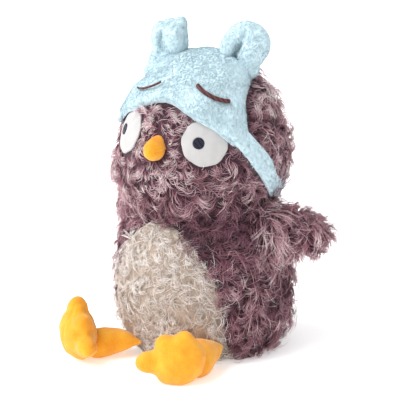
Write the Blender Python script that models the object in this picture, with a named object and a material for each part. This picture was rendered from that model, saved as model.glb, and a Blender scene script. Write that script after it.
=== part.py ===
# A sitting plush owl with a plush sleep mask pushed up on its forehead.
# Metres, +Z up. The owl faces -Y, and its left side is +X. The origin is the middle of its flat seat.

import math

import bmesh
import bpy
from mathutils import Matrix, Vector

MM = 0.001

# Seams and fabrics
SEAM_GAP = 0.3 * MM  # left between any two pieces that are sewn face to face
FUR_CLOTH = 3.0 * MM  # shaggy plush: its backing and the dense foot of its pile
SHORT_CLOTH = 1.8 * MM  # short smooth plush of legs, feet and beak
CUT_OVERRUN = 30.0 * MM  # how far cutters reach past what they cut

# Torso, a turned shape
BASE_RADIUS = 57.0 * MM
BELLY_RADIUS = 73.5 * MM
BELLY_HEIGHT = 48.0 * MM
NECK_RADIUS = 54.0 * MM
NECK_HEIGHT = 124.0 * MM
BASE_ROUND_POWER = 0.69  # how quickly the base swells to the belly
SHOULDER_ROUND_POWER = 0.6  # how full the shoulder stays below the neck
SEAT_HEM = 5.0 * MM  # furry rim left round the seat panel
SEAT_THICKNESS = 3.0 * MM
NECK_HEM = 7.0 * MM  # cloth turned in round the neck opening

# Belly panel, an egg outline seen from the front
PANEL_HALF_WIDTH = 55.5 * MM
PANEL_WIDEST_HEIGHT = 45.0 * MM
PANEL_TOP = 119.0 * MM
PANEL_LOWER_REACH = 120.0 * MM
PANEL_ROUND_POWER = 0.6  # how full the panel is below its top

# Pellet bag that keeps the owl sitting
BAG_RADIUS = 44.0 * MM
BAG_HEIGHT = 26.0 * MM

# Head, a spheroid about its sideways axis, so that the mask can slide round it
HEAD_HALF_WIDTH = 67.0 * MM
HEAD_RADIUS = 76.0 * MM
HEAD_CENTRE_HEIGHT = 165.5 * MM
HEAD_TURN = math.radians(5.5)  # the face looks a little to the owl's left

# Eyes: felt discs with an embroidered pupil let into each
EYE_RADIUS = 19.2 * MM
EYE_HEIGHTS = {"left": 188.0 * MM, "right": 191.0 * MM}
EYE_AZIMUTH = math.radians(31.7)
EYE_FELT = 1.4 * MM
PUPIL_RADIUS = 4.6 * MM
PUPIL_PROUD = 0.2 * MM
PUPIL_SHIFT = 5.2 * MM  # both look towards the owl's right

# Beak, a small stuffed cone
BEAK_HALF_WIDTH = 8.6 * MM
BEAK_HALF_HEIGHT = 10.2 * MM
BEAK_LENGTH = 15.0 * MM
BEAK_ROOT = 6.0 * MM  # kept behind the face before it is cut to the head
BEAK_HEIGHT = 183.0 * MM
BEAK_DROOP = math.radians(12)

# Sleep mask: layers on the head's spheroid, from the inside out
MASK_CLEARANCE = 0.4 * MM  # over the pupils, which it slides across
LINING_THICKNESS = 1.0 * MM
PADDING_THICKNESS = 1.6 * MM
MASK_CLOTH = 3.2 * MM
MASK_RIM = 3.4 * MM  # plush turned in round the lining
MASK_FACING = math.radians(62)  # the middle of the mask, above the horizon
MASK_TURN = math.radians(5)  # worn a little to the owl's left
MASK_TILT = math.radians(9)  # and higher over its right eye
MASK_HALF_WIDTH = 55.0 * MM
MASK_LOBE_DROP = 32.5 * MM  # from the middle to the lower edge over the eyes
MASK_CROWN_RISE = 50.0 * MM  # from the middle to the edge behind the crown
# The mask's outline: shares of the half width, and of the drop (below 0) or the rise (above it)
MASK_OUTLINE_SHARES = (
    (0.0, -0.86), (0.16, -0.89), (0.31, -0.96), (0.47, -1.0), (0.63, -0.975), (0.78, -0.91),
    (0.96, -0.84), (1.06, -0.64), (1.04, -0.3), (0.975, 0.0), (0.9, 0.18), (0.8, 0.44),
    (0.72, 0.66), (0.63, 0.86), (0.48, 0.98), (0.25, 1.0),
)
EYELID_MIDDLES = {"left": (33.5 * MM, -11.5 * MM), "right": (-25.0 * MM, -20.0 * MM)}  # the mask is askew
EYELID_LEANS = {"left": math.radians(8), "right": math.radians(3)}
EYELID_RADIUS = 19.0 * MM
EYELID_SWEEP = math.radians(86)
THREAD_RADIUS = 1.2 * MM

# Ears of the mask
EAR_HALF_WIDTH = 21.0 * MM
EAR_HALF_HEIGHT = 20.5 * MM
EAR_HALF_DEPTH = 12.0 * MM
EAR_X = 35.5 * MM
EAR_BACK = 8.0 * MM  # behind the head's middle
EAR_CENTRE_HEIGHT = 258.5 * MM
EAR_TURNS = {"left": math.radians(8), "right": math.radians(34)}  # outwards
EAR_BOWL_HALF_WIDTH = 8.5 * MM
EAR_BOWL_HALF_HEIGHT = 14.0 * MM
EAR_BOWL_DEPTH = 9.0 * MM
EAR_BOWL_DROP = 6.0 * MM
EAR_FOOT_RADIUS = 16.0 * MM

# Strap of the mask, a plush tube over a flat elastic
STRAP_WIDTH = 17.0 * MM
STRAP_THICKNESS = 4.6 * MM
ELASTIC_WIDTH = 9.0 * MM
ELASTIC_THICKNESS = 1.2 * MM
STRAP_START_SHARES = (0.95, -0.6)  # in the mask's outline
STRAP_CHEEK_HEIGHT = 171.0 * MM
STRAP_CHEEK_AZIMUTHS = {"left": math.radians(68), "right": math.radians(92)}
STRAP_NAPE_HEIGHT = 138.5 * MM
STRAP_NAPE_AZIMUTHS = {"left": math.radians(112), "right": math.radians(130)}

# Wings
WING_LENGTH = 45.0 * MM
WING_ROOT_HALF_HEIGHT = 15.0 * MM
WING_HALF_HEIGHT = 18.0 * MM
WING_HALF_THICKNESS = 8.5 * MM
WING_ROOT_HALF_THICKNESS = 5.5 * MM
WING_HEIGHT = 105.5 * MM
WING_AZIMUTH = math.radians(88)
WING_SWEEP = math.radians(45)  # backwards from straight out
WING_DROOP = math.radians(13)

# Legs
HIP_AZIMUTHS = {"left": math.radians(36), "right": math.radians(-25)}
HIP_HEIGHTS = {"left": 19.0 * MM, "right": 15.0 * MM}
HIP_HALF_WIDTH = 17.5 * MM
HIP_HALF_THICKNESS = 4.5 * MM
LEG_LENGTHS = {"left": 25.0 * MM, "right": 29.0 * MM}  # level, from the hip's hinge to the ankle
LEG_AZIMUTHS = {"left": math.radians(24), "right": math.radians(-29)}
LEG_FILL_POWER = 0.75  # how quickly a leg swells from its seam
ANKLE_RADII = {"left": 15.0 * MM, "right": 12.5 * MM}  # the near leg is pressed wider
LEG_FLAT = 0.5 * MM  # pressed flat on the floor

# Feet, a padded sole with three toes
FOOT_TURN = math.radians(33)  # soles turned outwards
LEG_ROOM = 1.0 * MM  # left round the leg behind the ankle, so that the foot can rock
FOOT_LEAD = 16.5 * MM  # from the ankle to the middle of the sole
HEEL_SHIFTS = {"left": 13.0 * MM, "right": 0.0}  # the ankle outside the middle of the sole
FOOT_ROLLS = {"left": math.radians(40), "right": math.radians(-50)}  # toes leaning inwards
SOLE_HEIGHTS = {"left": 18.5 * MM, "right": 23.0 * MM}
SOLE_HALF_WIDTH = 23.0 * MM
SOLE_HALF_LENGTH = 19.5 * MM
SOLE_HALF_DEPTH = 15.5 * MM
TOE_RADIUS = 9.0 * MM
TOE_LENGTH = 12.0 * MM
TOE_REACHES = {
    "left": {"inner": 24.0 * MM, "middle": 14.5 * MM, "outer": 14.0 * MM},
    "right": {"inner": 22.0 * MM, "middle": 14.5 * MM, "outer": 20.0 * MM},
}
TOE_SPREAD = math.radians(54)
TOE_TWIST = math.radians(11)  # turns the toes' facets off the sole's

SIDES = {"left": 1, "right": -1}
HEAD_CENTRE = Vector((0, 0, HEAD_CENTRE_HEIGHT))
HEAD_AXES = Vector((HEAD_HALF_WIDTH, HEAD_RADIUS, HEAD_RADIUS))
MASK_INSIDE = SEAM_GAP + EYE_FELT + PUPIL_PROUD + MASK_CLEARANCE
PADDING_INSIDE = MASK_INSIDE + LINING_THICKNESS + SEAM_GAP
COVER_INSIDE = PADDING_INSIDE + PADDING_THICKNESS + SEAM_GAP
MASK_OUTSIDE = COVER_INSIDE + MASK_CLOTH


# Helpers


def clear_scene():
    for thing in list(bpy.data.objects):
        bpy.data.objects.remove(thing, do_unlink=True)


def make_material(name, colour, roughness):
    material = bpy.data.materials.new(name)
    material.use_nodes = True
    shader = material.node_tree.nodes["Principled BSDF"]
    shader.inputs["Base Color"].default_value = (*colour, 1)
    shader.inputs["Roughness"].default_value = roughness
    shader.inputs["Metallic"].default_value = 0
    return material


def make_object(name, bm, material=None, smooth_angle=math.radians(40)):
    bmesh.ops.recalc_face_normals(bm, faces=bm.faces)
    mesh = bpy.data.meshes.new(name)
    bm.to_mesh(mesh)
    bm.free()
    mesh.shade_smooth()
    mesh.set_sharp_from_angle(angle=smooth_angle)
    made = bpy.data.objects.new(name, mesh)
    bpy.context.scene.collection.objects.link(made)
    if material:
        mesh.materials.append(material)
    return made


def combine(body, tool, operation, keep_tool=False):
    """Applies a Boolean at once, and removes its tool."""
    modifier = body.modifiers.new(operation.title(), "BOOLEAN")
    modifier.operation = operation
    modifier.object = tool
    modifier.solver = "EXACT"
    graph = bpy.context.evaluated_depsgraph_get()
    shaped = bpy.data.meshes.new_from_object(body.evaluated_get(graph))
    body.modifiers.clear()
    body.data = shaped
    if not keep_tool:
        bpy.data.objects.remove(tool)
    return body


def spheroid(grow, segments, rings, name="tool", material=None):
    """The head's spheroid, grown by a margin, with its poles on the X axis."""
    bm = bmesh.new()
    bmesh.ops.create_uvsphere(bm, u_segments=segments, v_segments=rings, radius=1)
    axes = HEAD_AXES + Vector((grow, grow, grow))
    place = Matrix.Translation(HEAD_CENTRE) @ Matrix.Diagonal(axes).to_4x4()
    turn = Matrix.Rotation(math.pi / 2, 4, "Y")
    bmesh.ops.transform(bm, matrix=place @ turn, verts=bm.verts)
    return make_object(name, bm, material)


def ellipsoid(centre, axes, turn, segments, rings, name="tool", material=None):
    bm = bmesh.new()
    bmesh.ops.create_uvsphere(bm, u_segments=segments, v_segments=rings, radius=1)
    place = Matrix.Translation(centre) @ turn @ Matrix.Diagonal(Vector(axes)).to_4x4()
    bmesh.ops.transform(bm, matrix=place, verts=bm.verts)
    return make_object(name, bm, material)


def block(low, high, name="tool"):
    bm = bmesh.new()
    bmesh.ops.create_cube(bm, size=1)
    low, high = Vector(low), Vector(high)
    place = Matrix.Translation((low + high) / 2) @ Matrix.Diagonal(high - low).to_4x4()
    bmesh.ops.transform(bm, matrix=place, verts=bm.verts)
    return make_object(name, bm)


def prism(outline, place, depth, name="tool"):
    """An outline of (x, y) points at a placed plane, extruded by depth along the plane's normal."""
    bm = bmesh.new()
    corners = [bm.verts.new((x, y, 0)) for x, y in outline]
    base = bm.faces.new(corners)
    grown = bmesh.ops.extrude_face_region(bm, geom=[base])
    raised = [v for v in grown["geom"] if isinstance(v, bmesh.types.BMVert)]
    bmesh.ops.translate(bm, vec=(0, 0, depth), verts=raised)
    bmesh.ops.transform(bm, matrix=place, verts=bm.verts)
    return make_object(name, bm)


def add_tube(bm, rings):
    """Joins rings of points into one open tube, and returns its first and last ring of vertices."""
    rows = [[bm.verts.new(point) for point in ring] for ring in rings]
    count = len(rows[0])
    for low, high in zip(rows, rows[1:]):
        for i in range(count):
            j = (i + 1) % count
            bm.faces.new((low[i], low[j], high[j], high[i]))
    return rows[0], rows[-1]


def lofted(name, rings, material=None):
    """A closed solid through rings of points."""
    bm = bmesh.new()
    first, last = add_tube(bm, rings)
    bm.faces.new(first)
    bm.faces.new(last)
    return make_object(name, bm, material)


def pouch(name, outer, inner, material=None):
    """A cloth skin: an outer and an inner loft, open at their first rings and closed at their last."""
    bm = bmesh.new()
    outer_first, outer_last = add_tube(bm, outer)
    inner_first, inner_last = add_tube(bm, inner)
    bm.faces.new(outer_last)
    bm.faces.new(inner_last)
    count = len(outer_first)
    for i in range(count):
        j = (i + 1) % count
        bm.faces.new((outer_first[i], outer_first[j], inner_first[j], inner_first[i]))
    return make_object(name, bm, material)


def oval(centre, across, up, half_across, half_up, count):
    """Points of an ellipse."""
    points = []
    for i in range(count):
        angle = 2 * math.pi * i / count
        reach = across * (math.cos(angle) * half_across)
        points.append(centre + reach + up * (math.sin(angle) * half_up))
    return points


# Torso


def torso_radius(height):
    """The torso's outer radius at a height."""
    if height <= BELLY_HEIGHT:
        share = math.sin(math.pi / 2 * max(height, 0) / BELLY_HEIGHT)
        return BASE_RADIUS + (BELLY_RADIUS - BASE_RADIUS) * share**BASE_ROUND_POWER
    rise = min((height - BELLY_HEIGHT) / (NECK_HEIGHT - BELLY_HEIGHT), 1)
    share = max(math.cos(math.pi / 2 * rise), 0)
    return NECK_RADIUS + (BELLY_RADIUS - NECK_RADIUS) * share**SHOULDER_ROUND_POWER


def outward(azimuth):
    """The level direction at an azimuth, counted from the front towards the owl's left."""
    return Vector((math.sin(azimuth), -math.cos(azimuth), 0))


def torso_frame(azimuth, height):
    """A point on the torso, its outward normal and its upward tangent."""
    step = BELLY_HEIGHT / 100
    slope = (torso_radius(height + step) - torso_radius(height - step)) / (2 * step)
    out = outward(azimuth)
    point = out * torso_radius(height) + Vector((0, 0, height))
    up = (out * slope + Vector((0, 0, 1))).normalized()
    normal = (out - Vector((0, 0, slope))).normalized()
    return point, normal, up


def turned(name, profile, segments, material=None):
    """A profile of (radius, height) points, bottom to top, spun about the Z axis and closed at its ends."""
    rings = []
    for radius, height in profile:
        centre = Vector((0, 0, height))
        rings.append(oval(centre, Vector((1, 0, 0)), Vector((0, 1, 0)), radius, radius, segments))
    return lofted(name, rings, material)


def torso_profile(inset, low, high, steps):
    """The torso's outline drawn in by a margin, between two heights."""
    profile = []
    for i in range(steps + 1):
        share = (1 - math.cos(math.pi * i / steps)) / 2
        height = low + (high - low) * share
        profile.append((torso_radius(height) - inset, height))
    return profile


def panel_half_width(height):
    """Half the belly panel's width at a height."""
    if height <= PANEL_WIDEST_HEIGHT:
        drop = (PANEL_WIDEST_HEIGHT - height) / PANEL_LOWER_REACH
        return PANEL_HALF_WIDTH * math.sqrt(max(1 - drop * drop, 0))
    rise = (height - PANEL_WIDEST_HEIGHT) / (PANEL_TOP - PANEL_WIDEST_HEIGHT)
    return PANEL_HALF_WIDTH * math.cos(math.pi / 2 * min(rise, 1)) ** PANEL_ROUND_POWER


def panel_cutter(inset):
    """A prism through the torso's front, with the belly panel's outline drawn in by a margin."""
    steps = 12
    low = -CUT_OVERRUN
    side = []
    for i in range(steps):
        share = math.sin(math.pi / 2 * i / steps)
        height = low + (PANEL_TOP - low) * share
        side.append((panel_half_width(height) - inset, height - inset * share))
    outline = side + [(0, PANEL_TOP - inset)]
    outline += [(-x, height) for x, height in reversed(side)]
    turn = Matrix.Rotation(math.pi / 2, 4, "X")
    return prism(outline, turn, BELLY_RADIUS + CUT_OVERRUN)


def torso_shell(name, material):
    """The torso's furry skin before the belly panel is let in, open at its seat and neck."""
    shell = turned(name, torso_profile(0, 0, NECK_HEIGHT, 12), 32, material)
    cavity = torso_profile(FUR_CLOTH, SEAT_THICKNESS, NECK_HEIGHT - FUR_CLOTH, 8)
    seat_hole = BASE_RADIUS - SEAT_HEM
    neck_hole = NECK_RADIUS - NECK_HEM
    cavity = [(seat_hole, -CUT_OVERRUN), (seat_hole, SEAT_THICKNESS)] + cavity
    cavity += [(neck_hole, NECK_HEIGHT - FUR_CLOTH), (neck_hole, NECK_HEIGHT + CUT_OVERRUN)]
    return combine(shell, turned("cavity", cavity, 32), "DIFFERENCE")


def make_torso(fur, cream, filling, bag_cloth):
    skin = torso_shell("body_skin", fur)
    combine(skin, panel_cutter(0), "DIFFERENCE")
    panel = torso_shell("belly_panel", cream)
    combine(panel, panel_cutter(SEAM_GAP), "INTERSECT")

    seat_radius = BASE_RADIUS - SEAT_HEM - SEAM_GAP
    seat_top = SEAT_THICKNESS - SEAM_GAP
    turned("seat_panel", [(seat_radius, 0), (seat_radius, seat_top)], 32, fur)

    inset = FUR_CLOTH + SEAM_GAP
    core = torso_profile(inset, SEAT_THICKNESS + SEAM_GAP, NECK_HEIGHT - inset, 8)
    stuffing = turned("body_stuffing", core, 32, filling)
    bag_room = bag_profile(SEAM_GAP, SEAT_THICKNESS)
    combine(stuffing, turned("room", [(bag_room[0][0], 0)] + bag_room, 24), "DIFFERENCE")
    turned("pellet_bag", bag_profile(0, SEAT_THICKNESS), 24, bag_cloth)


def bag_profile(grow, floor):
    """The pellet bag's outline, a cushion flat on the seat panel, grown by a margin."""
    shares = ((0.86, 0.0), (0.98, 0.2), (1.0, 0.42), (0.93, 0.7), (0.7, 0.92), (0.3, 1.0))
    return [(BAG_RADIUS * r + grow, floor + BAG_HEIGHT * h + grow * h) for r, h in shares]


# Head and face


def neck_cutter(height):
    reach = HEAD_RADIUS + CUT_OVERRUN
    return block((-reach, -reach, height - 2 * HEAD_RADIUS), (reach, reach, height))


def make_head(fur, filling):
    neck = NECK_HEIGHT + SEAM_GAP
    skin = spheroid(0, 36, 18, "head_skin", fur)
    combine(skin, spheroid(-FUR_CLOTH, 24, 12), "DIFFERENCE")
    combine(skin, neck_cutter(neck), "DIFFERENCE")
    core = spheroid(-FUR_CLOTH - SEAM_GAP, 24, 12, "head_stuffing", filling)
    combine(core, neck_cutter(neck), "DIFFERENCE")


def head_point(azimuth, height, grow=0):
    """A point on the grown head at an azimuth and a height, with its outward normal."""
    axes = HEAD_AXES + Vector((grow, grow, grow))
    rise = height - HEAD_CENTRE_HEIGHT
    way = outward(azimuth)
    left = 1 - (rise / axes.z) ** 2
    reach = math.sqrt(left / ((way.x / axes.x) ** 2 + (way.y / axes.y) ** 2))
    arm = way * reach + Vector((0, 0, rise))
    normal = Vector((arm.x / axes.x**2, arm.y / axes.y**2, arm.z / axes.z**2)).normalized()
    return HEAD_CENTRE + arm, normal


def facing(point, normal, up=Vector((0, 0, 1))):
    """A placing whose Z axis is a normal, and whose Y axis is as near up as it can be."""
    across = up.cross(normal).normalized()
    rise = normal.cross(across)
    turn = Matrix((across, rise, normal)).transposed().to_4x4()
    return Matrix.Translation(point) @ turn


def circle_outline(radius, count, shift=0):
    return [
        (shift + radius * math.cos(2 * math.pi * i / count), radius * math.sin(2 * math.pi * i / count))
        for i in range(count)
    ]


def patch(name, inside, outside, cutter, segments, rings, material):
    """The part of a layer over the head, between two margins, that a cutter holds."""
    layer = spheroid(outside, segments, rings, name, material)
    combine(layer, cutter, "INTERSECT")
    return combine(layer, spheroid(inside, segments, rings), "DIFFERENCE")


def make_eye(side, sign, white, black):
    point, normal = head_point(sign * EYE_AZIMUTH, EYE_HEIGHTS[side])
    place = facing(point, normal) @ Matrix.Translation((0, 0, -EYE_RADIUS))
    depth = 2 * EYE_RADIUS
    shift = -PUPIL_SHIFT
    disc = prism(circle_outline(EYE_RADIUS, 24), place, depth)
    felt = patch(f"eye_felt_{side}", SEAM_GAP, SEAM_GAP + EYE_FELT, disc, 48, 24, white)
    hole = prism(circle_outline(PUPIL_RADIUS + SEAM_GAP, 12, shift), place, depth)
    combine(felt, hole, "DIFFERENCE")
    dot = prism(circle_outline(PUPIL_RADIUS, 12, shift), place, depth)
    proud = SEAM_GAP + EYE_FELT + PUPIL_PROUD
    patch(f"pupil_{side}", SEAM_GAP, proud, dot, 48, 24, black)


def make_beak(yellow, filling):
    base, _ = head_point(0, BEAK_HEIGHT)
    forward = Vector((0, -math.cos(BEAK_DROOP), -math.sin(BEAK_DROOP)))
    across = Vector((1, 0, 0))
    up = across.cross(forward) * -1
    shares = ((0.0, 1.0), (0.3, 0.97), (0.6, 0.82), (0.85, 0.52), (1.0, 0.2))

    def rings(inset):
        wide = BEAK_HALF_WIDTH - inset
        high = BEAK_HALF_HEIGHT - inset
        made = [oval(base - forward * BEAK_ROOT, across, up, wide, high, 16)]
        for along, size in shares:
            centre = base + forward * (along * (BEAK_LENGTH - inset))
            made.append(oval(centre, across, up, wide * size, high * size, 16))
        return made

    skin = pouch("beak_skin", rings(0), rings(SHORT_CLOTH), yellow)
    core = lofted("beak_stuffing", rings(SHORT_CLOTH + SEAM_GAP), filling)
    for piece in (skin, core):
        combine(piece, spheroid(SEAM_GAP, 36, 18), "DIFFERENCE")


# Sleep mask


def mask_frame():
    """The mask's sideways, upward and outward directions."""
    turn = Matrix.Rotation(MASK_TURN, 3, "Z")
    normal = turn @ Vector((0, -math.cos(MASK_FACING), math.sin(MASK_FACING)))
    across = Matrix.Rotation(-MASK_TILT, 3, normal) @ turn @ Vector((1, 0, 0))
    return across, normal.cross(across), normal


def on_mask(x, y, grow):
    """The point of the grown head that lies under a place in the mask's plane."""
    across, rise, normal = mask_frame()
    axes = HEAD_AXES + Vector((grow, grow, grow))
    start = across * x + rise * y
    from_centre = Vector(a / b for a, b in zip(start, axes))
    way = Vector(a / b for a, b in zip(normal, axes))
    half = from_centre.dot(way) / way.length_squared
    left = (1 - from_centre.length_squared) / way.length_squared
    return HEAD_CENTRE + start + normal * (math.sqrt(max(half * half + left, 0)) - half)


def mask_place(share_x, share_y):
    """A place in the mask's plane from its outline's shares."""
    reach = MASK_CROWN_RISE if share_y > 0 else MASK_LOBE_DROP
    return share_x * MASK_HALF_WIDTH, share_y * reach


def mask_outline(inset):
    """The mask's outline in its plane: a lobe over each eye, a notch over the beak, a round crown."""
    half = [mask_place(*shares) for shares in MASK_OUTLINE_SHARES]
    half.append(mask_place(0, 1))
    whole = half + [(-x, y) for x, y in reversed(half[1:-1])]
    drawn = []
    for x, y in whole:
        arm = Vector((x, y))
        arm = arm * (1 - inset / arm.length)
        drawn.append((arm.x, arm.y))
    return drawn


def mask_cutter(inset):
    across, rise, normal = mask_frame()
    turn = Matrix((across, rise, normal)).transposed().to_4x4()
    place = Matrix.Translation(HEAD_CENTRE) @ turn
    return prism(mask_outline(inset), place, HEAD_RADIUS + CUT_OVERRUN)


def make_mask(plush, satin, foam, thread):
    cover = patch("mask_front", MASK_INSIDE, MASK_OUTSIDE, mask_cutter(0), 40, 20, plush)
    pocket = patch("pocket", MASK_INSIDE - SEAM_GAP, COVER_INSIDE, mask_cutter(MASK_RIM), 40, 20, plush)
    combine(cover, pocket, "DIFFERENCE")
    inset = MASK_RIM + SEAM_GAP
    lined = MASK_INSIDE + LINING_THICKNESS
    patch("mask_lining", MASK_INSIDE, lined, mask_cutter(inset), 40, 20, satin)
    padded = PADDING_INSIDE + PADDING_THICKNESS
    patch("mask_padding", PADDING_INSIDE, padded, mask_cutter(inset), 40, 20, foam)
    for side, sign in SIDES.items():
        make_eyelid(f"eyelid_stitch_{side}", EYELID_MIDDLES[side], EYELID_LEANS[side], thread)
        make_ear(f"mask_ear_{side}", sign, EAR_TURNS[side], plush)


def make_eyelid(name, middle, lean, thread):
    """A sleeping eyelid, an embroidered arc that hangs down."""
    points = []
    steps = 10
    for i in range(steps + 1):
        turn = lean + EYELID_SWEEP * (i / steps - 1 / 2)
        x = middle[0] + EYELID_RADIUS * (math.sin(turn) - math.sin(lean))
        y = middle[1] - EYELID_RADIUS * (math.cos(turn) - math.cos(lean))
        points.append(on_mask(x, y, MASK_OUTSIDE + SEAM_GAP + THREAD_RADIUS))
    rings = []
    for i, point in enumerate(points):
        before, after = points[max(i - 1, 0)], points[min(i + 1, steps)]
        along = (after - before).normalized()
        across = along.cross(point - HEAD_CENTRE).normalized()
        rings.append(oval(point, across, across.cross(along), THREAD_RADIUS, THREAD_RADIUS, 6))
    return lofted(name, rings, thread)


def make_ear(name, sign, splay, plush):
    """A round ear with a bowl in front and a short foot, seated on the mask."""
    turn = Matrix.Rotation(sign * splay + MASK_TURN, 4, "Z")
    placed = Matrix.Rotation(MASK_TURN, 3, "Z") @ Vector((sign * EAR_X, EAR_BACK, 0))
    centre = Vector((placed.x, placed.y, EAR_CENTRE_HEIGHT))
    ear = ellipsoid(centre, (EAR_HALF_WIDTH, EAR_HALF_DEPTH, EAR_HALF_HEIGHT), turn, 20, 10, name, plush)
    foot_place = centre - Vector((0, 0, EAR_HALF_HEIGHT))
    foot = (EAR_FOOT_RADIUS, EAR_HALF_DEPTH, EAR_FOOT_RADIUS)
    combine(ear, ellipsoid(foot_place, foot, turn, 16, 8), "UNION")
    front = turn @ Vector((0, -1, 0))
    bowl = (EAR_BOWL_HALF_WIDTH, EAR_BOWL_DEPTH, EAR_BOWL_HALF_HEIGHT)
    hollow = centre + front * EAR_HALF_DEPTH - Vector((0, 0, EAR_BOWL_DROP))
    combine(ear, ellipsoid(hollow, bowl, turn, 14, 8), "DIFFERENCE")
    return combine(ear, spheroid(MASK_OUTSIDE + SEAM_GAP, 40, 20), "DIFFERENCE")


def strap_route(side):
    """Half of the strap's middle line, as (azimuth, height), from the mask's corner to the nape."""
    sign = SIDES[side]
    cheek, nape = STRAP_CHEEK_AZIMUTHS[side], STRAP_NAPE_AZIMUTHS[side]
    share_x, share_y = STRAP_START_SHARES
    x, y = mask_place(share_x, share_y)
    start = on_mask(sign * x, y, MASK_INSIDE)
    between = (cheek + nape) / 2
    between_height = (STRAP_CHEEK_HEIGHT + 3 * STRAP_NAPE_HEIGHT) / 4
    return [
        (math.atan2(start.x, -start.y), start.z),
        (sign * cheek, STRAP_CHEEK_HEIGHT),
        (sign * between, between_height),
        (sign * nape, STRAP_NAPE_HEIGHT),
        (sign * math.pi, STRAP_NAPE_HEIGHT),
    ]


def smooth_line(stops, steps):
    """Points on a Catmull-Rom curve through stops of any size."""
    points = []
    for i in range(len(stops) - 1):
        around = [stops[max(i - 1, 0)], stops[i], stops[i + 1], stops[min(i + 2, len(stops) - 1)]]
        for step in range(steps):
            t = step / steps
            point = []
            for a, b, c, d in zip(*around):
                bend = (2 * a - 5 * b + 4 * c - d) * t * t + (3 * b - a - 3 * c + d) * t**3
                point.append((2 * b + (c - a) * t + bend) / 2)
            points.append(tuple(point))
    points.append(tuple(stops[-1]))
    return points


def band_rings(route, half_width, half_thickness, lie, square):
    """Flat oval or square-cornered rings along a route over the head."""
    centres = [head_point(azimuth, height, lie)[0] for azimuth, height in route]
    normals = [head_point(azimuth, height, lie)[1] for azimuth, height in route]
    if square:
        corners = ((1, 1), (-1, 1), (-1, -1), (1, -1))
    else:
        above = ((1, 0.3), (0.84, 0.9), (0, 1), (-0.84, 0.9), (-1, 0.3))
        corners = above + ((-0.84, -0.75), (0, -1), (0.84, -0.75))
    rings = []
    for i, centre in enumerate(centres):
        before, after = centres[max(i - 1, 0)], centres[min(i + 1, len(centres) - 1)]
        along = (after - before).normalized()
        across = along.cross(normals[i]).normalized()
        out = across.cross(along).normalized()
        sides = [(across * (half_width * a), out * (half_thickness * b)) for a, b in corners]
        rings.append([centre + sideways + raised for sideways, raised in sides])
    return rings


def make_strap(plush, elastic_cloth):
    other = strap_route("right")[:-1]
    stops = strap_route("left") + [(azimuth + 2 * math.pi, height) for azimuth, height in reversed(other)]
    route = smooth_line(stops, 4)
    lie = MASK_INSIDE + STRAP_THICKNESS / 2
    outside = band_rings(route, STRAP_WIDTH / 2, STRAP_THICKNESS / 2, lie, False)
    cover = lofted("strap_cover", outside, plush)
    half_width = ELASTIC_WIDTH / 2
    half_thickness = ELASTIC_THICKNESS / 2
    channel = band_rings(route, half_width + SEAM_GAP, half_thickness + SEAM_GAP, lie, True)
    channel = [past_end(channel[0], channel[1])] + channel + [past_end(channel[-1], channel[-2])]
    combine(cover, lofted("channel", channel), "DIFFERENCE")
    core = band_rings(route, half_width, half_thickness, lie, True)
    elastic = lofted("strap_elastic", core, elastic_cloth)
    low, high = MASK_INSIDE - 2 * SEAM_GAP, MASK_OUTSIDE + CUT_OVERRUN
    for piece in (cover, elastic):
        seat = patch("seat", low, high, mask_cutter(-SEAM_GAP), 40, 20, None)
        combine(piece, seat, "DIFFERENCE")


def past_end(ring, neighbour):
    """A ring one step beyond the end of a tube."""
    return [a + (a - b) for a, b in zip(ring, neighbour)]


# Wings, legs and feet


def wing_frame(sign):
    """The wing's hinge point on the torso's side, its length, height and thickness directions."""
    point, normal, up = torso_frame(sign * WING_AZIMUTH, WING_HEIGHT)
    hinge = point + normal * (WING_ROOT_HALF_THICKNESS + SEAM_GAP)
    along = Matrix.Rotation(sign * WING_SWEEP, 4, up) @ normal
    return hinge, along.normalized(), up, up.cross(along).normalized()


def wing_rings(sign, inset):
    hinge, along, up, thick = wing_frame(sign)
    root = WING_ROOT_HALF_THICKNESS
    stations = []
    for angle in (math.radians(35), math.radians(62)):
        stations.append((-root * math.cos(angle), WING_ROOT_HALF_HEIGHT, root * math.sin(angle)))
    shares = (
        (0.0, WING_ROOT_HALF_HEIGHT, root),
        (0.18, WING_ROOT_HALF_HEIGHT * 1.12, WING_HALF_THICKNESS * 0.88),
        (0.42, WING_HALF_HEIGHT, WING_HALF_THICKNESS),
        (0.66, WING_HALF_HEIGHT * 0.95, WING_HALF_THICKNESS * 0.94),
        (0.84, WING_HALF_HEIGHT * 0.72, WING_HALF_THICKNESS * 0.76),
        (0.95, WING_HALF_HEIGHT * 0.42, WING_HALF_THICKNESS * 0.5),
        (1.0, WING_HALF_HEIGHT * 0.16, WING_HALF_THICKNESS * 0.22),
    )
    stations += [(WING_LENGTH * share, high, thin) for share, high, thin in shares]
    rings = []
    for place, high, thin in stations:
        sag = math.tan(WING_DROOP) * max(place, 0)
        middle = place if place < WING_LENGTH / 2 else place - inset * (place / WING_LENGTH)
        centre = hinge + along * middle - up * sag
        half_high = max(high - inset, inset / 4)
        half_thin = max(thin - inset, inset / 4)
        rings.append(oval(centre, up, thick, half_high, half_thin, 12))
    return rings


def make_wing(side, sign, fur, filling):
    outer = wing_rings(sign, 0)
    inner = wing_rings(sign, FUR_CLOTH)
    pouch(f"wing_skin_{side}", outer, inner, fur)
    lofted(f"wing_stuffing_{side}", wing_rings(sign, FUR_CLOTH + SEAM_GAP)[1:], filling)


def hip_frame(side):
    """The hip hinge's middle, the way out of the torso and the hinge's level direction."""
    point, normal, _ = torso_frame(HIP_AZIMUTHS[side], HIP_HEIGHTS[side])
    hinge = point + normal * (HIP_HALF_THICKNESS + SEAM_GAP)
    out = outward(HIP_AZIMUTHS[side])
    return hinge, out, Vector((0, 0, 1)).cross(out)


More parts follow.
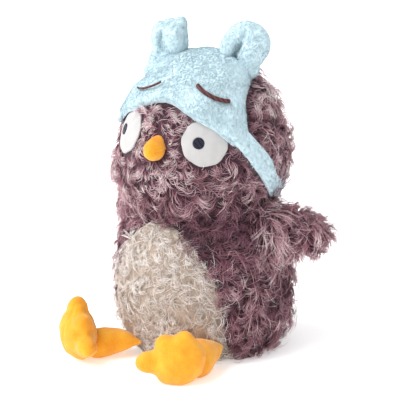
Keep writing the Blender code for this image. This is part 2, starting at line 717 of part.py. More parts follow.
def ankle_point(side):
    hinge, _, _ = hip_frame(side)
    ankle = hinge + outward(LEG_AZIMUTHS[side]) * LEG_LENGTHS[side]
    return Vector((ankle.x, ankle.y, ANKLE_RADII[side] - LEG_FLAT))


def leg_rings(side, inset):
    hinge, out, level = hip_frame(side)
    ankle = ankle_point(side)
    ankle_radius = ANKLE_RADII[side]
    rings = []
    for angle in (math.radians(35), math.radians(62)):
        centre = hinge - out * (HIP_HALF_THICKNESS * math.cos(angle))
        thin = HIP_HALF_THICKNESS * math.sin(angle)
        rings.append(leg_ring(centre, level, out, HIP_HALF_WIDTH - inset, thin - inset))
    forward = outward(LEG_AZIMUTHS[side])
    for share in (0.0, 0.2, 0.45, 0.72, 1.0):
        ease = share * share * (3 - 2 * share)
        swell = math.sin(math.pi / 2 * share) ** LEG_FILL_POWER
        centre = hinge.lerp(ankle, share)
        way = out.lerp(forward, min(share * 2, 1)).normalized()
        across = Vector((0, 0, 1)).cross(way)
        wide = HIP_HALF_WIDTH + (ankle_radius - HIP_HALF_WIDTH) * ease
        thin = HIP_HALF_THICKNESS + (ankle_radius - HIP_HALF_THICKNESS) * swell
        rings.append(leg_ring(centre, across, way, wide - inset, thin - inset))
    for angle in (math.radians(30), math.radians(58), math.radians(80)):
        radius = ankle_radius - inset
        centre = ankle + forward * (radius * math.sin(angle))
        across = Vector((0, 0, 1)).cross(forward)
        size = radius * math.cos(angle)
        rings.append(leg_ring(centre, across, forward, size, size))
    return rings


def leg_ring(centre, across, way, wide, thin):
    return oval(centre, across, way.cross(across), max(wide, SEAM_GAP), max(thin, SEAM_GAP), 14)


def foot_frame(side, sign):
    """The middle of the sole, and the toes' sideways and upward directions and the sole's outward one."""
    forward = outward(sign * FOOT_TURN)
    ankle = ankle_point(side)
    level = Vector((0, 0, 1)).cross(forward)
    centre = Vector((ankle.x, ankle.y, SOLE_HEIGHTS[side])) + forward * FOOT_LEAD
    centre -= level * (sign * HEEL_SHIFTS[side])
    roll = Matrix.Rotation(FOOT_ROLLS[side], 3, forward)
    return centre, roll @ level, roll @ Vector((0, 0, 1)), forward


def foot_body(name, side, sign, inset, segments, rings, material=None):
    """A sole and three toes as one solid, drawn in by a margin."""
    centre, across, up, forward = foot_frame(side, sign)
    turn = Matrix((across, forward, up)).transposed().to_4x4()
    sole = (SOLE_HALF_WIDTH - inset, SOLE_HALF_DEPTH - inset, SOLE_HALF_LENGTH - inset)
    foot = ellipsoid(centre, sole, turn, segments, rings, name, material)
    for toe_name, turn in (("inner", -1), ("middle", 0), ("outer", 1)):
        angle = sign * turn * TOE_SPREAD
        way = across * math.sin(angle) + up * math.cos(angle)
        spin = Matrix((way, forward, way.cross(forward))).transposed().to_4x4()
        spin = Matrix.Rotation(TOE_TWIST, 4, way) @ spin
        size = (TOE_LENGTH - inset, TOE_RADIUS - inset, TOE_RADIUS - inset)
        reach = TOE_REACHES[side][toe_name]
        toe = ellipsoid(centre + way * reach, size, spin, segments - 2, rings - 1)
        combine(foot, toe, "UNION")
    return foot


def floor_cutter(height):
    reach = 2 * (BELLY_RADIUS + max(LEG_LENGTHS.values()))
    return block((-reach, -reach, -CUT_OVERRUN), (reach, reach, height))


def cut_ankle(piece, side):
    """Makes room in a foot for the round end of its leg, and for the leg behind it."""
    size = ANKLE_RADII[side] + SEAM_GAP
    ball = ellipsoid(ankle_point(side), (size, size, size), Matrix.Identity(4), 20, 12)
    combine(piece, ball, "DIFFERENCE")
    combine(piece, lofted("leg_room", leg_rings(side, -LEG_ROOM)[:-3]), "DIFFERENCE")


def make_leg(side, yellow, filling):
    skin = pouch(f"leg_skin_{side}", leg_rings(side, 0), leg_rings(side, SHORT_CLOTH), yellow)
    lofted(f"leg_stuffing_{side}", leg_rings(side, SHORT_CLOTH + SEAM_GAP)[1:], filling)
    combine(skin, floor_cutter(0), "DIFFERENCE")


def make_foot(side, sign, yellow, filling):
    skin = foot_body(f"foot_skin_{side}", side, sign, 0, 16, 8, yellow)
    inside = foot_body("inside", side, sign, SHORT_CLOTH, 12, 7)
    combine(inside, floor_cutter(SHORT_CLOTH), "DIFFERENCE")
    combine(skin, inside, "DIFFERENCE")
    cut_ankle(skin, side)
    combine(skin, floor_cutter(0), "DIFFERENCE")
    filled = SHORT_CLOTH + SEAM_GAP
    core = foot_body(f"foot_stuffing_{side}", side, sign, filled, 12, 7, filling)
    cut_ankle(core, side)
    combine(core, floor_cutter(filled), "DIFFERENCE")


def turn_head():
    """Turns the head and all that it wears about the neck."""
    worn = ("head_", "eye_", "pupil_", "beak_", "mask_", "eyelid_", "strap_")
    turn = Matrix.Rotation(HEAD_TURN, 4, "Z")
    for piece in bpy.data.objects:
        if piece.name.startswith(worn):
            piece.data.transform(turn)


def main():
    clear_scene()
    fur = make_material("shaggy_brown_plush", (0.23, 0.16, 0.16), 0.9)
    cream = make_material("shaggy_cream_plush", (0.62, 0.54, 0.46), 0.9)
    yellow = make_material("yellow_short_plush", (0.95, 0.5, 0.04), 0.75)
    blue = make_material("blue_mask_plush", (0.5, 0.72, 0.8), 0.8)
    white = make_material("white_felt", (0.85, 0.83, 0.8), 0.85)
    black = make_material("black_thread", (0.01, 0.01, 0.02), 0.6)
    brown = make_material("brown_thread", (0.09, 0.03, 0.03), 0.5)
    satin = make_material("blue_satin", (0.55, 0.74, 0.82), 0.4)
    filling = make_material("polyester_filling", (0.85, 0.85, 0.84), 0.95)
    elastic = make_material("white_elastic", (0.8, 0.8, 0.78), 0.7)
    bag = make_material("bag_cotton", (0.7, 0.67, 0.6), 0.85)

    make_torso(fur, cream, filling, bag)
    make_head(fur, filling)
    make_beak(yellow, filling)
    make_mask(blue, satin, filling, brown)
    make_strap(blue, elastic)
    for side, sign in SIDES.items():
        make_eye(side, sign, white, black)
        make_wing(side, sign, fur, filling)
        make_leg(side, yellow, filling)
        make_foot(side, sign, yellow, filling)
    turn_head()


main()
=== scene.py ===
# A sitting plush owl in curly fur, with a plush sleep mask pushed up on its forehead.
# Metres, +Z up. The owl faces -Y and its left side is +X.
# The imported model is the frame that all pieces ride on.
import math
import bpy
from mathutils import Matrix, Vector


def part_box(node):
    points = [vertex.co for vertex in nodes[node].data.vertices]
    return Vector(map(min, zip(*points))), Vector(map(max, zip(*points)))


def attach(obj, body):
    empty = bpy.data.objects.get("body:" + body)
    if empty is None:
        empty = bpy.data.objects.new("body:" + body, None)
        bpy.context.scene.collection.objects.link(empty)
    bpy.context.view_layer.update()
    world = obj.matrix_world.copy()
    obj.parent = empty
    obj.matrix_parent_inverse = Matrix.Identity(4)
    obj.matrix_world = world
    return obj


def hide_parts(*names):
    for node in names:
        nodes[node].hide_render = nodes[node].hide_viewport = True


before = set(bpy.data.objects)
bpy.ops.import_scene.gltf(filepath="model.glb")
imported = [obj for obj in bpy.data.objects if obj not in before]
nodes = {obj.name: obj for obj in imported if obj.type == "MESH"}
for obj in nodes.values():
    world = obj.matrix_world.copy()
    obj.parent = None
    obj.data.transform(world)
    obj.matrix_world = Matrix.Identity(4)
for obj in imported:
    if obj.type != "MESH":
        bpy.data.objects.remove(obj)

from types import SimpleNamespace

import bmesh
import bpy
import numpy as np
from mathutils import Matrix, Vector, noise
from mathutils.bvhtree import BVHTree
from mathutils.kdtree import KDTree

mm = 0.001
weld = 0.01 * mm
justOutside = 0.05 * mm  # a line out of a solid starts here, to miss its own face
justInside = 3 * mm  # a line out of the skin starts this far under it, to meet what touches it
scene = bpy.context.scene
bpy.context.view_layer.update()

# The head's shape, which the face and the mask are laid on
head = {
    "centre": Vector((0, 0, 165.5 * mm)),
    "axes": Vector((67 * mm, 76 * mm, 76 * mm)),
    "turn": math.radians(5.5),
}
headTurn = Matrix.Rotation(head["turn"], 3, "Z")
bodySides = {"left": 1, "right": -1}


# Meshes and objects


def cadCopy(*names):
    # the solids of these nodes, welded, in one bmesh
    bm = bmesh.new()
    for name in names:
        bm.from_mesh(nodes[name].data)
    bmesh.ops.remove_doubles(bm, verts=bm.verts, dist=weld)
    return bm


def newObject(name, data):
    made = bpy.data.objects.new(name, data)
    scene.collection.objects.link(made)
    return made


def meshObject(name, bm):
    mesh = bpy.data.meshes.new(name)
    bm.to_mesh(mesh)
    bm.free()
    return newObject(name, mesh)


def evaluatedMesh(thing):
    bpy.context.view_layer.update()
    graph = bpy.context.evaluated_depsgraph_get()
    return bpy.data.meshes.new_from_object(thing.evaluated_get(graph))


def withModifier(bm, kind, **settings):
    # one modifier applied at once
    carrier = meshObject("carrier", bm)
    modifier = carrier.modifiers.new(kind.title(), kind)
    for key, value in settings.items():
        setattr(modifier, key, value)
    mesh = evaluatedMesh(carrier)
    bpy.data.objects.remove(carrier)
    shaped = bmesh.new()
    shaped.from_mesh(mesh)
    bpy.data.meshes.remove(mesh)
    return shaped


def remeshed(bm, voxel):
    return withModifier(bm, "REMESH", mode="VOXEL", voxel_size=voxel, use_smooth_shade=True)


def divided(node):
    # a solid with its faces cut in four
    return withModifier(cadCopy(node), "SUBSURF", levels=1, render_levels=1, subdivision_type="SIMPLE")


def relaxed(bm, rounds):
    axes = {"use_axis_x": True, "use_axis_y": True, "use_axis_z": True}
    for _ in range(rounds):
        bmesh.ops.smooth_vert(bm, verts=bm.verts, factor=0.5, **axes)
    return bm


def swollen(bm, amount):
    # every vertex out along its normal, by a number or by a function of its place
    bm.normal_update()
    moves = []
    for v in bm.verts:
        reach = amount(v.co, v.normal) if callable(amount) else amount
        moves.append(v.normal * reach)
    for v, move in zip(bm.verts, moves):
        v.co += move
    bm.normal_update()
    return bm


def filleted(bm, radius, voxel, rounds):
    # softens the inner corners: swollen into one surface, then drawn in again
    for _ in range(rounds):
        bm = relaxed(remeshed(swollen(bm, radius / rounds), voxel), 2)
    for _ in range(rounds):
        swollen(relaxed(bm, 1), -radius / rounds)
    return relaxed(remeshed(bm, voxel), 2)


def pressed(bm, middle, across, up, inward, halfWidth, halfHeight, depth):
    # a soft hollow in the side that faces away from inward
    bm.normal_update()
    for v in bm.verts:
        arm = v.co - middle
        away = (arm.dot(across) / halfWidth) ** 2 + (arm.dot(up) / halfHeight) ** 2
        if away < 1 and v.normal.dot(inward) < 0.3:
            v.co += inward * (depth * (1 - away) ** 0.8)
    return bm


def finished(name, bm, material, body, slotName, *replaced):
    bmesh.ops.recalc_face_normals(bm, faces=bm.faces)
    made = meshObject(name, bm)
    made.data.shade_smooth()
    made.data.materials.append(materials[material])
    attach(made, body)
    if replaced:
        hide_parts(*replaced)
    return made


def lumps(size, depth, seed=0):
    # a soft unevenness for swollen()
    shift = Vector((seed, seed * 0.7, -seed))
    return lambda place, normal: depth * noise.noise(place / size + shift)


# Materials


def newMaterial(name, roughness=0.8, sheen=0.0):
    material = bpy.data.materials.new(name)
    material.use_nodes = True
    tree = material.node_tree
    shader = tree.nodes["Principled BSDF"]
    shader.inputs["Roughness"].default_value = roughness
    shader.inputs["Sheen Weight"].default_value = sheen
    shader.inputs["Sheen Roughness"].default_value = 0.5
    shader.inputs["Specular IOR Level"].default_value = 0.25
    return material, tree, shader


def addNode(tree, kind, **values):
    made = tree.nodes.new(kind)
    for key, value in values.items():
        if key in made.inputs:
            made.inputs[key].default_value = value
        else:
            setattr(made, key, value)
    return made


def addRamp(tree, source, stops):
    ramp = tree.nodes.new("ShaderNodeValToRGB")
    elements = ramp.color_ramp.elements
    while len(elements) < len(stops):
        elements.new(0.5)
    for element, (place, colour) in zip(elements, stops):
        element.position = place
        element.color = (*colour, 1)
    tree.links.new(source, ramp.inputs["Fac"])
    return ramp.outputs["Color"]


def addMix(tree, factor, first, second, blend="MIX"):
    mix = tree.nodes.new("ShaderNodeMix")
    mix.data_type = "RGBA"
    mix.blend_type = blend
    for socket, value in ((mix.inputs[0], factor), (mix.inputs[6], first), (mix.inputs[7], second)):
        if isinstance(value, bpy.types.NodeSocket):
            tree.links.new(value, socket)
        elif isinstance(value, tuple):
            socket.default_value = (*value, 1)
        else:
            socket.default_value = value
    return mix.outputs[2]


def addNoise(tree, scale, detail=3.0, roughness=0.5, stretch=None, distortion=0.0):
    place = tree.nodes.new("ShaderNodeTexCoord").outputs["Object"]
    if stretch:
        mapping = tree.nodes.new("ShaderNodeMapping")
        mapping.inputs["Scale"].default_value = stretch
        tree.links.new(place, mapping.inputs["Vector"])
        place = mapping.outputs["Vector"]
    made = addNode(
        tree, "ShaderNodeTexNoise", Scale=scale, Detail=detail, Roughness=roughness, Distortion=distortion
    )
    tree.links.new(place, made.inputs["Vector"])
    return made.outputs["Fac"]


def addBump(tree, shader, height, strength, distance):
    bump = addNode(tree, "ShaderNodeBump", Strength=strength, Distance=distance)
    tree.links.new(height, bump.inputs["Height"])
    tree.links.new(bump.outputs["Normal"], shader.inputs["Normal"])


def fibreMaterial(name, stops, shades):
    # colour along each fibre by its attribute: red is its lock's tint, green runs from root to tip, and the
    # dark roots are painted shade deep in the fur
    material, tree, shader = newMaterial(name, 0.75, 0.25)
    fibre = addNode(tree, "ShaderNodeAttribute", attribute_name="fibre")
    split = tree.nodes.new("ShaderNodeSeparateColor")
    tree.links.new(fibre.outputs["Color"], split.inputs["Color"])
    along = addRamp(tree, split.outputs["Green"], stops)
    tint = addRamp(tree, split.outputs["Red"], shades)
    colour = addMix(tree, 1.0, along, tint, "MULTIPLY")
    tree.links.new(colour, shader.inputs["Base Color"])
    return material


def clothMaterial(name, deep, pale, scale, bump, roughness, sheen):
    # short plush: two noises shade it, and the finer one roughens it
    material, tree, shader = newMaterial(name, roughness, sheen)
    broad = addNoise(tree, scale / 12, 2.0)
    fine = addNoise(tree, scale, 4.0, 0.65)
    both = addMix(tree, 0.45, broad, fine)
    colour = addRamp(tree, both, ((0.3, deep), (0.72, pale)))
    tree.links.new(colour, shader.inputs["Base Color"])
    addBump(tree, shader, fine, bump, 0.4 * mm)
    return material


def addPressed(name, deep, pale):
    # paler streaks where the attribute says that fur is pressed flat over its cloth
    tree = materials[name].node_tree
    shader = tree.nodes["Principled BSDF"]
    ground = shader.inputs["Base Color"].links[0].from_socket
    streaks = addNoise(tree, 160, 4.0, 0.7, (1, 1, 0.25), 1.5)
    flat = addRamp(tree, streaks, ((0.3, deep), (0.7, pale)))
    pressedHere = addNode(tree, "ShaderNodeAttribute", attribute_name="pressed")
    tree.links.new(addMix(tree, pressedHere.outputs["Fac"], ground, flat), shader.inputs["Base Color"])


def threadMaterial(name, dark, light, pitch):
    # satin stitch: fine parallel threads, each with a painted highlight where it catches the light
    material, tree, shader = newMaterial(name, 0.5, 0.1)
    place = tree.nodes.new("ShaderNodeTexCoord").outputs["Object"]
    wave = addNode(tree, "ShaderNodeTexWave", Scale=1 / pitch, Distortion=0.6)
    wave.bands_direction = "DIAGONAL"
    tree.links.new(place, wave.inputs["Vector"])
    colour = addRamp(tree, wave.outputs["Fac"], ((0.1, dark), (0.9, light)))
    tree.links.new(colour, shader.inputs["Base Color"])
    addBump(tree, shader, wave.outputs["Fac"], 0.7, 0.2 * mm)
    return material


# each cloth's deep and pale colours, the scale of its grain, its bump, roughness and sheen
cloths = {
    # furCloth is the backing under the fur: its own dark colour, deepened to near black as painted shade
    # between the locks
    "furCloth": ((0.04, 0.014, 0.024), (0.085, 0.034, 0.048), 900, 0.6, 0.85, 0.2),
    "bellyCloth": ((0.34, 0.26, 0.21), (0.5, 0.42, 0.35), 900, 0.6, 0.85, 0.2),
    "yellowPlush": ((0.72, 0.24, 0.008), (0.84, 0.43, 0.028), 1000, 0.8, 0.85, 0.25),
    "maskCloth": ((0.5, 0.66, 0.725), (0.6, 0.745, 0.8), 1100, 0.35, 0.85, 0.2),
    "whiteFelt": ((0.46, 0.45, 0.45), (0.53, 0.52, 0.515), 1500, 0.35, 0.9, 0.1),
    "filling": ((0.75, 0.75, 0.73), (0.88, 0.88, 0.87), 500, 0.8, 0.85, 0.2),
    "bagCotton": ((0.6, 0.56, 0.48), (0.72, 0.69, 0.61), 1800, 0.5, 0.85, 0.2),
    "satin": ((0.5, 0.7, 0.78), (0.6, 0.78, 0.85), 2000, 0.2, 0.35, 0.2),
}
pressedColours = ((0.11, 0.05, 0.065), (0.34, 0.22, 0.235))

# each fibre's colours from root to tip, its own colour deepened towards the root as painted shade, and the
# shades that its lock's tint runs through
fibres = {
    "furUnder": (
        ((0, (0.055, 0.012, 0.022)), (1, (0.24, 0.105, 0.135))),
        ((0, (0.7, 0.62, 0.66)), (1, (1, 1, 1))),
    ),
    "furLocks": (
        (
            (0, (0.07, 0.01, 0.022)), (0.35, (0.4, 0.158, 0.205)),
            (0.75, (0.82, 0.55, 0.57)), (1, (0.9, 0.72, 0.71)),
        ),
        (
            (0, (0.3, 0.165, 0.235)), (0.45, (0.61, 0.47, 0.53)),
            (0.75, (0.84, 0.82, 0.85)), (1, (1.1, 1.38, 1.33)),
        ),
    ),
    "bellyLocks": (
        ((0, (0.4, 0.32, 0.27)), (0.35, (0.84, 0.77, 0.725)), (1, (0.98, 0.965, 0.95))),
        ((0, (0.72, 0.68, 0.65)), (0.5, (0.92, 0.9, 0.88)), (1, (1, 1, 1))),
    ),
    "maskPile": (
        ((0, (0.51, 0.67, 0.73)), (0.5, (0.58, 0.74, 0.795)), (1, (0.66, 0.8, 0.845))),
        ((0, (0.94, 0.95, 0.96)), (1, (1, 1, 1))),
    ),
}

# each thread's dark colour and painted highlight colour, and the pitch of the wave that paints its
# highlights
threads = {
    "pupilThread": ((0.004, 0.004, 0.012), (0.016, 0.016, 0.035), 9 * mm),
    "eyelidThread": ((0.045, 0.01, 0.012), (0.13, 0.042, 0.042), 8 * mm),
}

materials = {name: clothMaterial(name, *finish) for name, finish in cloths.items()}
materials.update({name: fibreMaterial(name, *finish) for name, finish in fibres.items()})
materials.update({name: threadMaterial(name, *finish) for name, finish in threads.items()})
addPressed("furCloth", *pressedColours)
print("materials made")


# Fibres: curly locks and short pile


def sectionOf(sides):
    # the outline that curves are drawn with, clockwise, so that their faces point out
    curve = bpy.data.curves.new("section", "CURVE")
    curve.dimensions = "2D"
    spline = curve.splines.new("POLY")
    spline.points.add(sides - 1)
    spline.use_cyclic_u = True
    for i, point in enumerate(spline.points):
        angle = -2 * math.pi * i / sides
        point.co = (math.cos(angle), math.sin(angle), 0, 1)
    return newObject("section", curve)


def drawFibres(name, paths, radii, tints, material, body, slotName):
    # one mesh of closed three-sided fibres along these paths
    count, steps = paths.shape[:2]
    sides = 3
    section = sectionOf(sides)
    curve = bpy.data.curves.new(name, "CURVE")
    curve.dimensions = "3D"
    curve.bevel_mode = "OBJECT"
    curve.bevel_object = section
    row = np.ones((steps, 4))
    for path, radius in zip(paths, radii):
        spline = curve.splines.new("POLY")
        spline.points.add(steps - 1)
        row[:, :3] = path
        spline.points.foreach_set("co", row.ravel())
        spline.points.foreach_set("radius", radius)
    drawn = newObject(name, curve)
    mesh = evaluatedMesh(drawn)
    bpy.data.objects.remove(drawn)
    bpy.data.objects.remove(section)
    colours = np.ones((count, steps, sides, 4))
    colours[..., 0] = tints[:, None, None]
    colours[..., 1] = np.linspace(0, 1, steps)[None, :, None]
    fibre = mesh.attributes.new("fibre", "FLOAT_COLOR", "POINT")
    fibre.data.foreach_set("color", colours.ravel())
    bm = bmesh.new()
    bm.from_mesh(mesh)
    bpy.data.meshes.remove(mesh)
    ends = [e for e in bm.edges if e.is_boundary]
    bmesh.ops.edgeloop_fill(bm, edges=ends)
    return finished(name, bm, material, body, slotName)


def outerShell(*names):
    # the outward faces of these nodes: those from which a line straight out meets nothing of the node
    bm = cadCopy(*names)
    bm.normal_update()
    tree = BVHTree.FromBMesh(bm)

    def hidden(face):
        start = face.calc_center_median() + face.normal * justOutside
        return tree.ray_cast(start, face.normal)[0] is not None

    bmesh.ops.delete(bm, geom=[f for f in bm.faces if hidden(f)], context="FACES")
    bmesh.ops.triangulate(bm, faces=bm.faces)
    bm.normal_update()
    return bm


def scatter(bm, count, rng):
    # places and normals spread evenly over a mesh
    corners = np.array([[v.co[:] for v in f.verts] for f in bm.faces])
    normals = np.array([[v.normal[:] for v in f.verts] for f in bm.faces])
    areas = np.array([f.calc_area() for f in bm.faces])
    chosen = rng.choice(len(areas), count, p=areas / areas.sum())
    a, b = rng.random(count), rng.random(count)
    over = a + b > 1
    a[over], b[over] = 1 - a[over], 1 - b[over]
    weights = np.stack([1 - a - b, a, b], axis=1)[:, :, None]
    places = (corners[chosen] * weights).sum(axis=1)
    out = (normals[chosen] * weights).sum(axis=1)
    return places, unit(out)


def unit(vectors):
    lengths = np.linalg.norm(vectors, axis=-1, keepdims=True)
    return vectors / np.maximum(lengths, 1e-12)


def alongSurface(vectors, normals):
    return unit(vectors - normals * (vectors * normals).sum(axis=1, keepdims=True))


def turnedAbout(vectors, axes, angles):
    # each vector turned about its own axis
    c, s = np.cos(angles)[:, None], np.sin(angles)[:, None]
    dots = (vectors * axes).sum(axis=1, keepdims=True)
    return vectors * c + np.cross(axes, vectors) * s + axes * dots * (1 - c)


def waviness(places, size, seed):
    # a smooth number from about -1 to 1 at each place
    shift = Vector((seed, -seed, seed * 0.5))
    return np.array([noise.noise(Vector(p) / size + shift) for p in places]) * 2


def treeOf(bm):
    tree = BVHTree.FromBMesh(bm)
    bm.free()
    return tree


def coverOf(names):
    return treeOf(cadCopy(*names))


def clearOf(tree, places, normals, reach, room):
    # which roots nothing covers, how near the nearest cover is and the way from it
    # a nearness of 1 is touching, and 0 is past the room
    kept = np.ones(len(places), bool)
    nearness = np.zeros(len(places))
    away = np.zeros((len(places), 3))
    for i, (place, normal) in enumerate(zip(places, normals)):
        spot, out = Vector(place), Vector(normal)
        if tree.ray_cast(spot - out * justInside, out, reach)[0] is not None:
            kept[i] = False
            continue
        found, _, _, distance = tree.find_nearest(spot, room)
        if found is not None:
            nearness[i] = 1 - distance / room
            away[i] = spot - found
    return kept, nearness, away


def rootsOf(shell, look, cover, rng):
    # the fibres' roots where nothing covers the shell
    places, normals = scatter(shell, look.fibres, rng)
    kept = np.array([look.keep(p, n) for p, n in zip(places, normals)])
    places, normals = places[kept], normals[kept]
    kept, nearness, away = clearOf(cover, places, normals, look.coverReach, look.coverRoom)
    return places[kept], normals[kept], nearness[kept], away[kept]


def locksOf(places, look, rng, seed):
    # each fibre's guide, the fibre in the middle of its lock, and what its lock shares
    guides = rng.choice(len(places), len(places) // look.perLock, replace=False)
    tree = KDTree(len(guides))
    for i, g in enumerate(guides):
        tree.insert(places[g], i)
    tree.balance()
    lock = np.array([tree.find(p)[1] for p in places])
    locks = len(guides)
    swirl = waviness(places[guides], look.swirlSize, seed)
    patch = waviness(places[guides], look.patchSize, seed + 50)
    shared = {
        "turn": look.swirl * swirl + rng.normal(0, look.turnSpread, locks),
        "bend": rng.normal(0, look.bend, locks) + look.bend * 0.5 * np.sign(swirl),
        "phase": rng.uniform(0, 2 * math.pi, locks),
        "curls": rng.uniform(*look.curls, locks),
        "length": rng.uniform(*look.lengths, locks) * (1 + look.patchLength * patch),
        "lift": rng.uniform(*look.lifts, locks) * (1 + look.patchLift * patch),
        "tint": np.clip(rng.normal(*look.tints, locks) + look.patchTint * patch, 0, 1),
    }
    return guides[lock], {key: values[lock] for key, values in shared.items()}


def fibrePaths(roots, guide, shared, stray, look, flow, rng):
    # from the skin up, round and down: a bending stem with a curl round it, drawn towards its lock's guide
    places, normals, nearness, away = roots
    count = len(places)
    near = nearness[:, None]
    way = alongSurface(flow(places, normals), normals)
    turn = shared["turn"] + rng.normal(0, look.fibreTurn, count)
    way = turnedAbout(way, normals, turn + stray * rng.normal(0, look.strayTurn, count))
    combed = alongSurface(away + way * (0.2 * look.coverRoom), normals)
    way = alongSurface(way * (1 - near) + combed * near * 1.6, normals)
    side = np.cross(normals, way)

    length = shared["length"] * rng.uniform(*look.lengthSpread, count)
    length *= (1 + look.strayLength * stray) * (1 - look.nearShort * nearness)
    length = np.minimum(length * look.shorten(places), look.longest)
    lift = shared["lift"] * (1 - look.nearFlat * nearness) * (1 + look.strayLift * stray)
    lift = lift * look.flatten(places)
    curl = look.curl * rng.uniform(*look.curlSpread, count) * (1 + look.strayCurl * stray)
    turns = shared["curls"] * (1 + look.strayCurls * stray)
    phase = shared["phase"] + rng.normal(0, look.phaseSpread, count)
    phase = phase + stray * rng.uniform(0, look.strayPhase, count)
    bend = shared["bend"] + stray * rng.normal(0, look.strayBend, count)

    steps = look.steps
    share = np.linspace(0, 1, steps)
    paths = np.zeros((count, steps, 3))
    spot = np.zeros((count, 3))
    for i in range(1, steps):
        t = (share[i] + share[i - 1]) / 2
        heading = way * np.cos(bend * t)[:, None] + side * np.sin(bend * t)[:, None]
        angle = lift * (1 - t) ** 1.1 - look.settle * t
        stride = heading * np.cos(angle)[:, None] + normals * np.sin(angle)[:, None]
        spot = spot + stride * (length / (steps - 1))[:, None]
        paths[:, i] = spot
    for i in range(1, steps):
        t = share[i]
        angle = phase + 2 * math.pi * turns * t
        reach = curl * min(t * 1.8, 1)
        paths[:, i] += side * (reach * (np.cos(angle) - np.cos(phase) * (1 - t)))[:, None]
        outward = look.curlDepth * reach * (np.sin(angle) - np.sin(phase) * (1 - t))
        paths[:, i] += normals * outward[:, None]
        paths[:, i, 2] -= look.sag * t * t * length

    gather = look.gather * np.where(stray, 0.0, 1.0)
    offset = places[guide] - places
    for i in range(steps):
        pull = gather * min(share[i] * 1.3, 1)
        paths[:, i] += places + offset * pull[:, None]
    return keptOver(paths, places, normals, share, look)


def keptOver(paths, places, normals, share, look):
    # past their roots the fibres stay over the skin and the floor, and high ones are pressed down a little
    heights = ((paths - places[:, None]) * normals[:, None]).sum(axis=2)
    free = share > 0.15
    low = np.minimum(heights, look.lowest) - look.lowest * free
    paths -= normals[:, None] * np.where(free, np.minimum(low, 0), 0)[:, :, None]
    high = look.highShare * np.maximum(heights - look.highest, 0)
    paths -= normals[:, None] * high[:, :, None]
    paths[:, :, 2] = np.maximum(paths[:, :, 2], look.overFloor)
    return paths


def growLocks(name, shell, look, material, body, slotName, cover, flow, seed):
    # curly fur over a shell, in locks whose fibres gather towards their tips
    look, rng = SimpleNamespace(**look), np.random.default_rng(seed)
    roots = rootsOf(shell, look, cover, rng)
    places, normals, nearness, away = roots
    count = len(places)
    guide, shared = locksOf(places, look, rng, seed)
    stray = (rng.random(count) < look.strays) & (nearness == 0)
    paths = fibrePaths(roots, guide, shared, stray, look, flow, rng)

    thick = look.thickness * rng.uniform(*look.thicknessSpread, count)
    thick = thick * np.where(stray, look.strayThickness, 1)
    steps = look.steps
    taper = np.interp(np.linspace(0, 1, steps), *look.taper)
    radii = thick[:, None] * taper[None]
    tints = shared["tint"] + rng.normal(0, look.fibreTint, count)
    tints = np.clip(tints + look.strayTint * stray + look.tone(places), 0, 1)

    # pieces of under 200,000 triangles, cut like slices of a cake
    most = 200000 // ((steps - 1) * 6 + 2)
    parts = math.ceil(count / most)
    azimuth = np.arctan2(places[:, 0] - places[:, 0].mean(), -(places[:, 1] - places[:, 1].mean()))
    order = np.argsort(azimuth)
    for i, chosen in enumerate(np.array_split(order, parts)):
        part = name if parts == 1 else name + "ABCDEFGH"[i]
        drawFibres(part, paths[chosen], radii[chosen], tints[chosen], material, body, slotName)
    print(name, count, "fibres in", parts, "pieces")


# Torso: dark cloth under mauve-brown curls, and a beige belly

furLook = {
    "fibres": 20200,  # spread over the shell, before the covered ones are left out
    "perLock": 9,
    "steps": 5,
    "lengths": (10 * mm, 19 * mm),
    "longest": 25 * mm,
    "lifts": (0.55, 1.35),  # radians off the skin at the root
    "settle": 0.45,
    "lowest": 0.6 * mm,
    "highest": 11 * mm,
    "highShare": 0.6,
    "overFloor": 0.6 * mm,
    "patchSize": 15 * mm,
    "patchLength": 0.22,
    "patchLift": 0.3,
    "patchTint": 0.2,
    "swirlSize": 20 * mm,
    "swirl": 1.5,
    "turnSpread": 0.55,
    "fibreTurn": 0.22,
    "bend": 1.6,
    "curls": (0.2, 0.7),
    "curl": 1.3 * mm,
    "curlDepth": 0.7,
    "curlSpread": (0.75, 1.25),
    "phaseSpread": 0.45,
    "lengthSpread": (0.8, 1.12),
    "gather": 0.66,
    "sag": 0.12,
    "thickness": 0.2 * mm,
    "thicknessSpread": (0.8, 1.2),
    "taper": ((0, 0.25, 0.75, 1), (0.85, 1.0, 0.75, 0.22)),
    "tints": (0.48, 0.24),  # the locks' middle tint and its spread
    "fibreTint": 0.09,
    "strays": 0.08,
    "strayTurn": 0.8,
    "strayLength": 0.7,
    "strayLift": 0.3,
    "strayCurl": 0.6,
    "strayCurls": 0.5,
    "strayPhase": 6,
    "strayBend": 1.2,
    "strayThickness": 0.85,
    "strayTint": 0.35,
    "coverReach": 16 * mm,
    "coverRoom": 8 * mm,
    "nearShort": 0.35,
    "nearFlat": 0.55,
    "keep": lambda place, normal: True,
    "shorten": lambda places: 1.0,
    "flatten": lambda places: 1.0,
    "tone": lambda places: 0.0,
}
underShares = {
    "fibres": 3300,
    "perLock": 5,
    "steps": 4,
    "lengths": (5 * mm, 8 * mm),
    "thickness": 0.7 * mm,
    "strays": 0.0,
    "gather": 0.35,
    "curl": 0.9 * mm,
}
bellyLook = {
    **furLook,
    "fibres": 7200,
    "perLock": 7,
    "lengths": (7.5 * mm, 13 * mm),
    "lifts": (0.5, 1.2),
    "swirlSize": 13 * mm,
    "swirl": 1.8,
    "turnSpread": 1.0,
    "curls": (0.3, 1.0),
    "curl": 1.2 * mm,
    "gather": 0.45,
    "strays": 0.1,
    "thickness": 0.19 * mm,
}


furGround = {"lumps": (14 * mm, 0.25 * mm)}  # size and depth


def downFlow(places, normals):
    return np.tile((0.0, 0.0, -1.0), (len(places), 1))


def furrySkin(name, node, clothName, body, slotName):
    # the cloth that the fur grows on, a little uneven
    bm = swollen(divided(node), lumps(*furGround["lumps"]))
    made = finished(name, bm, clothName, body, slotName, node)
    return made


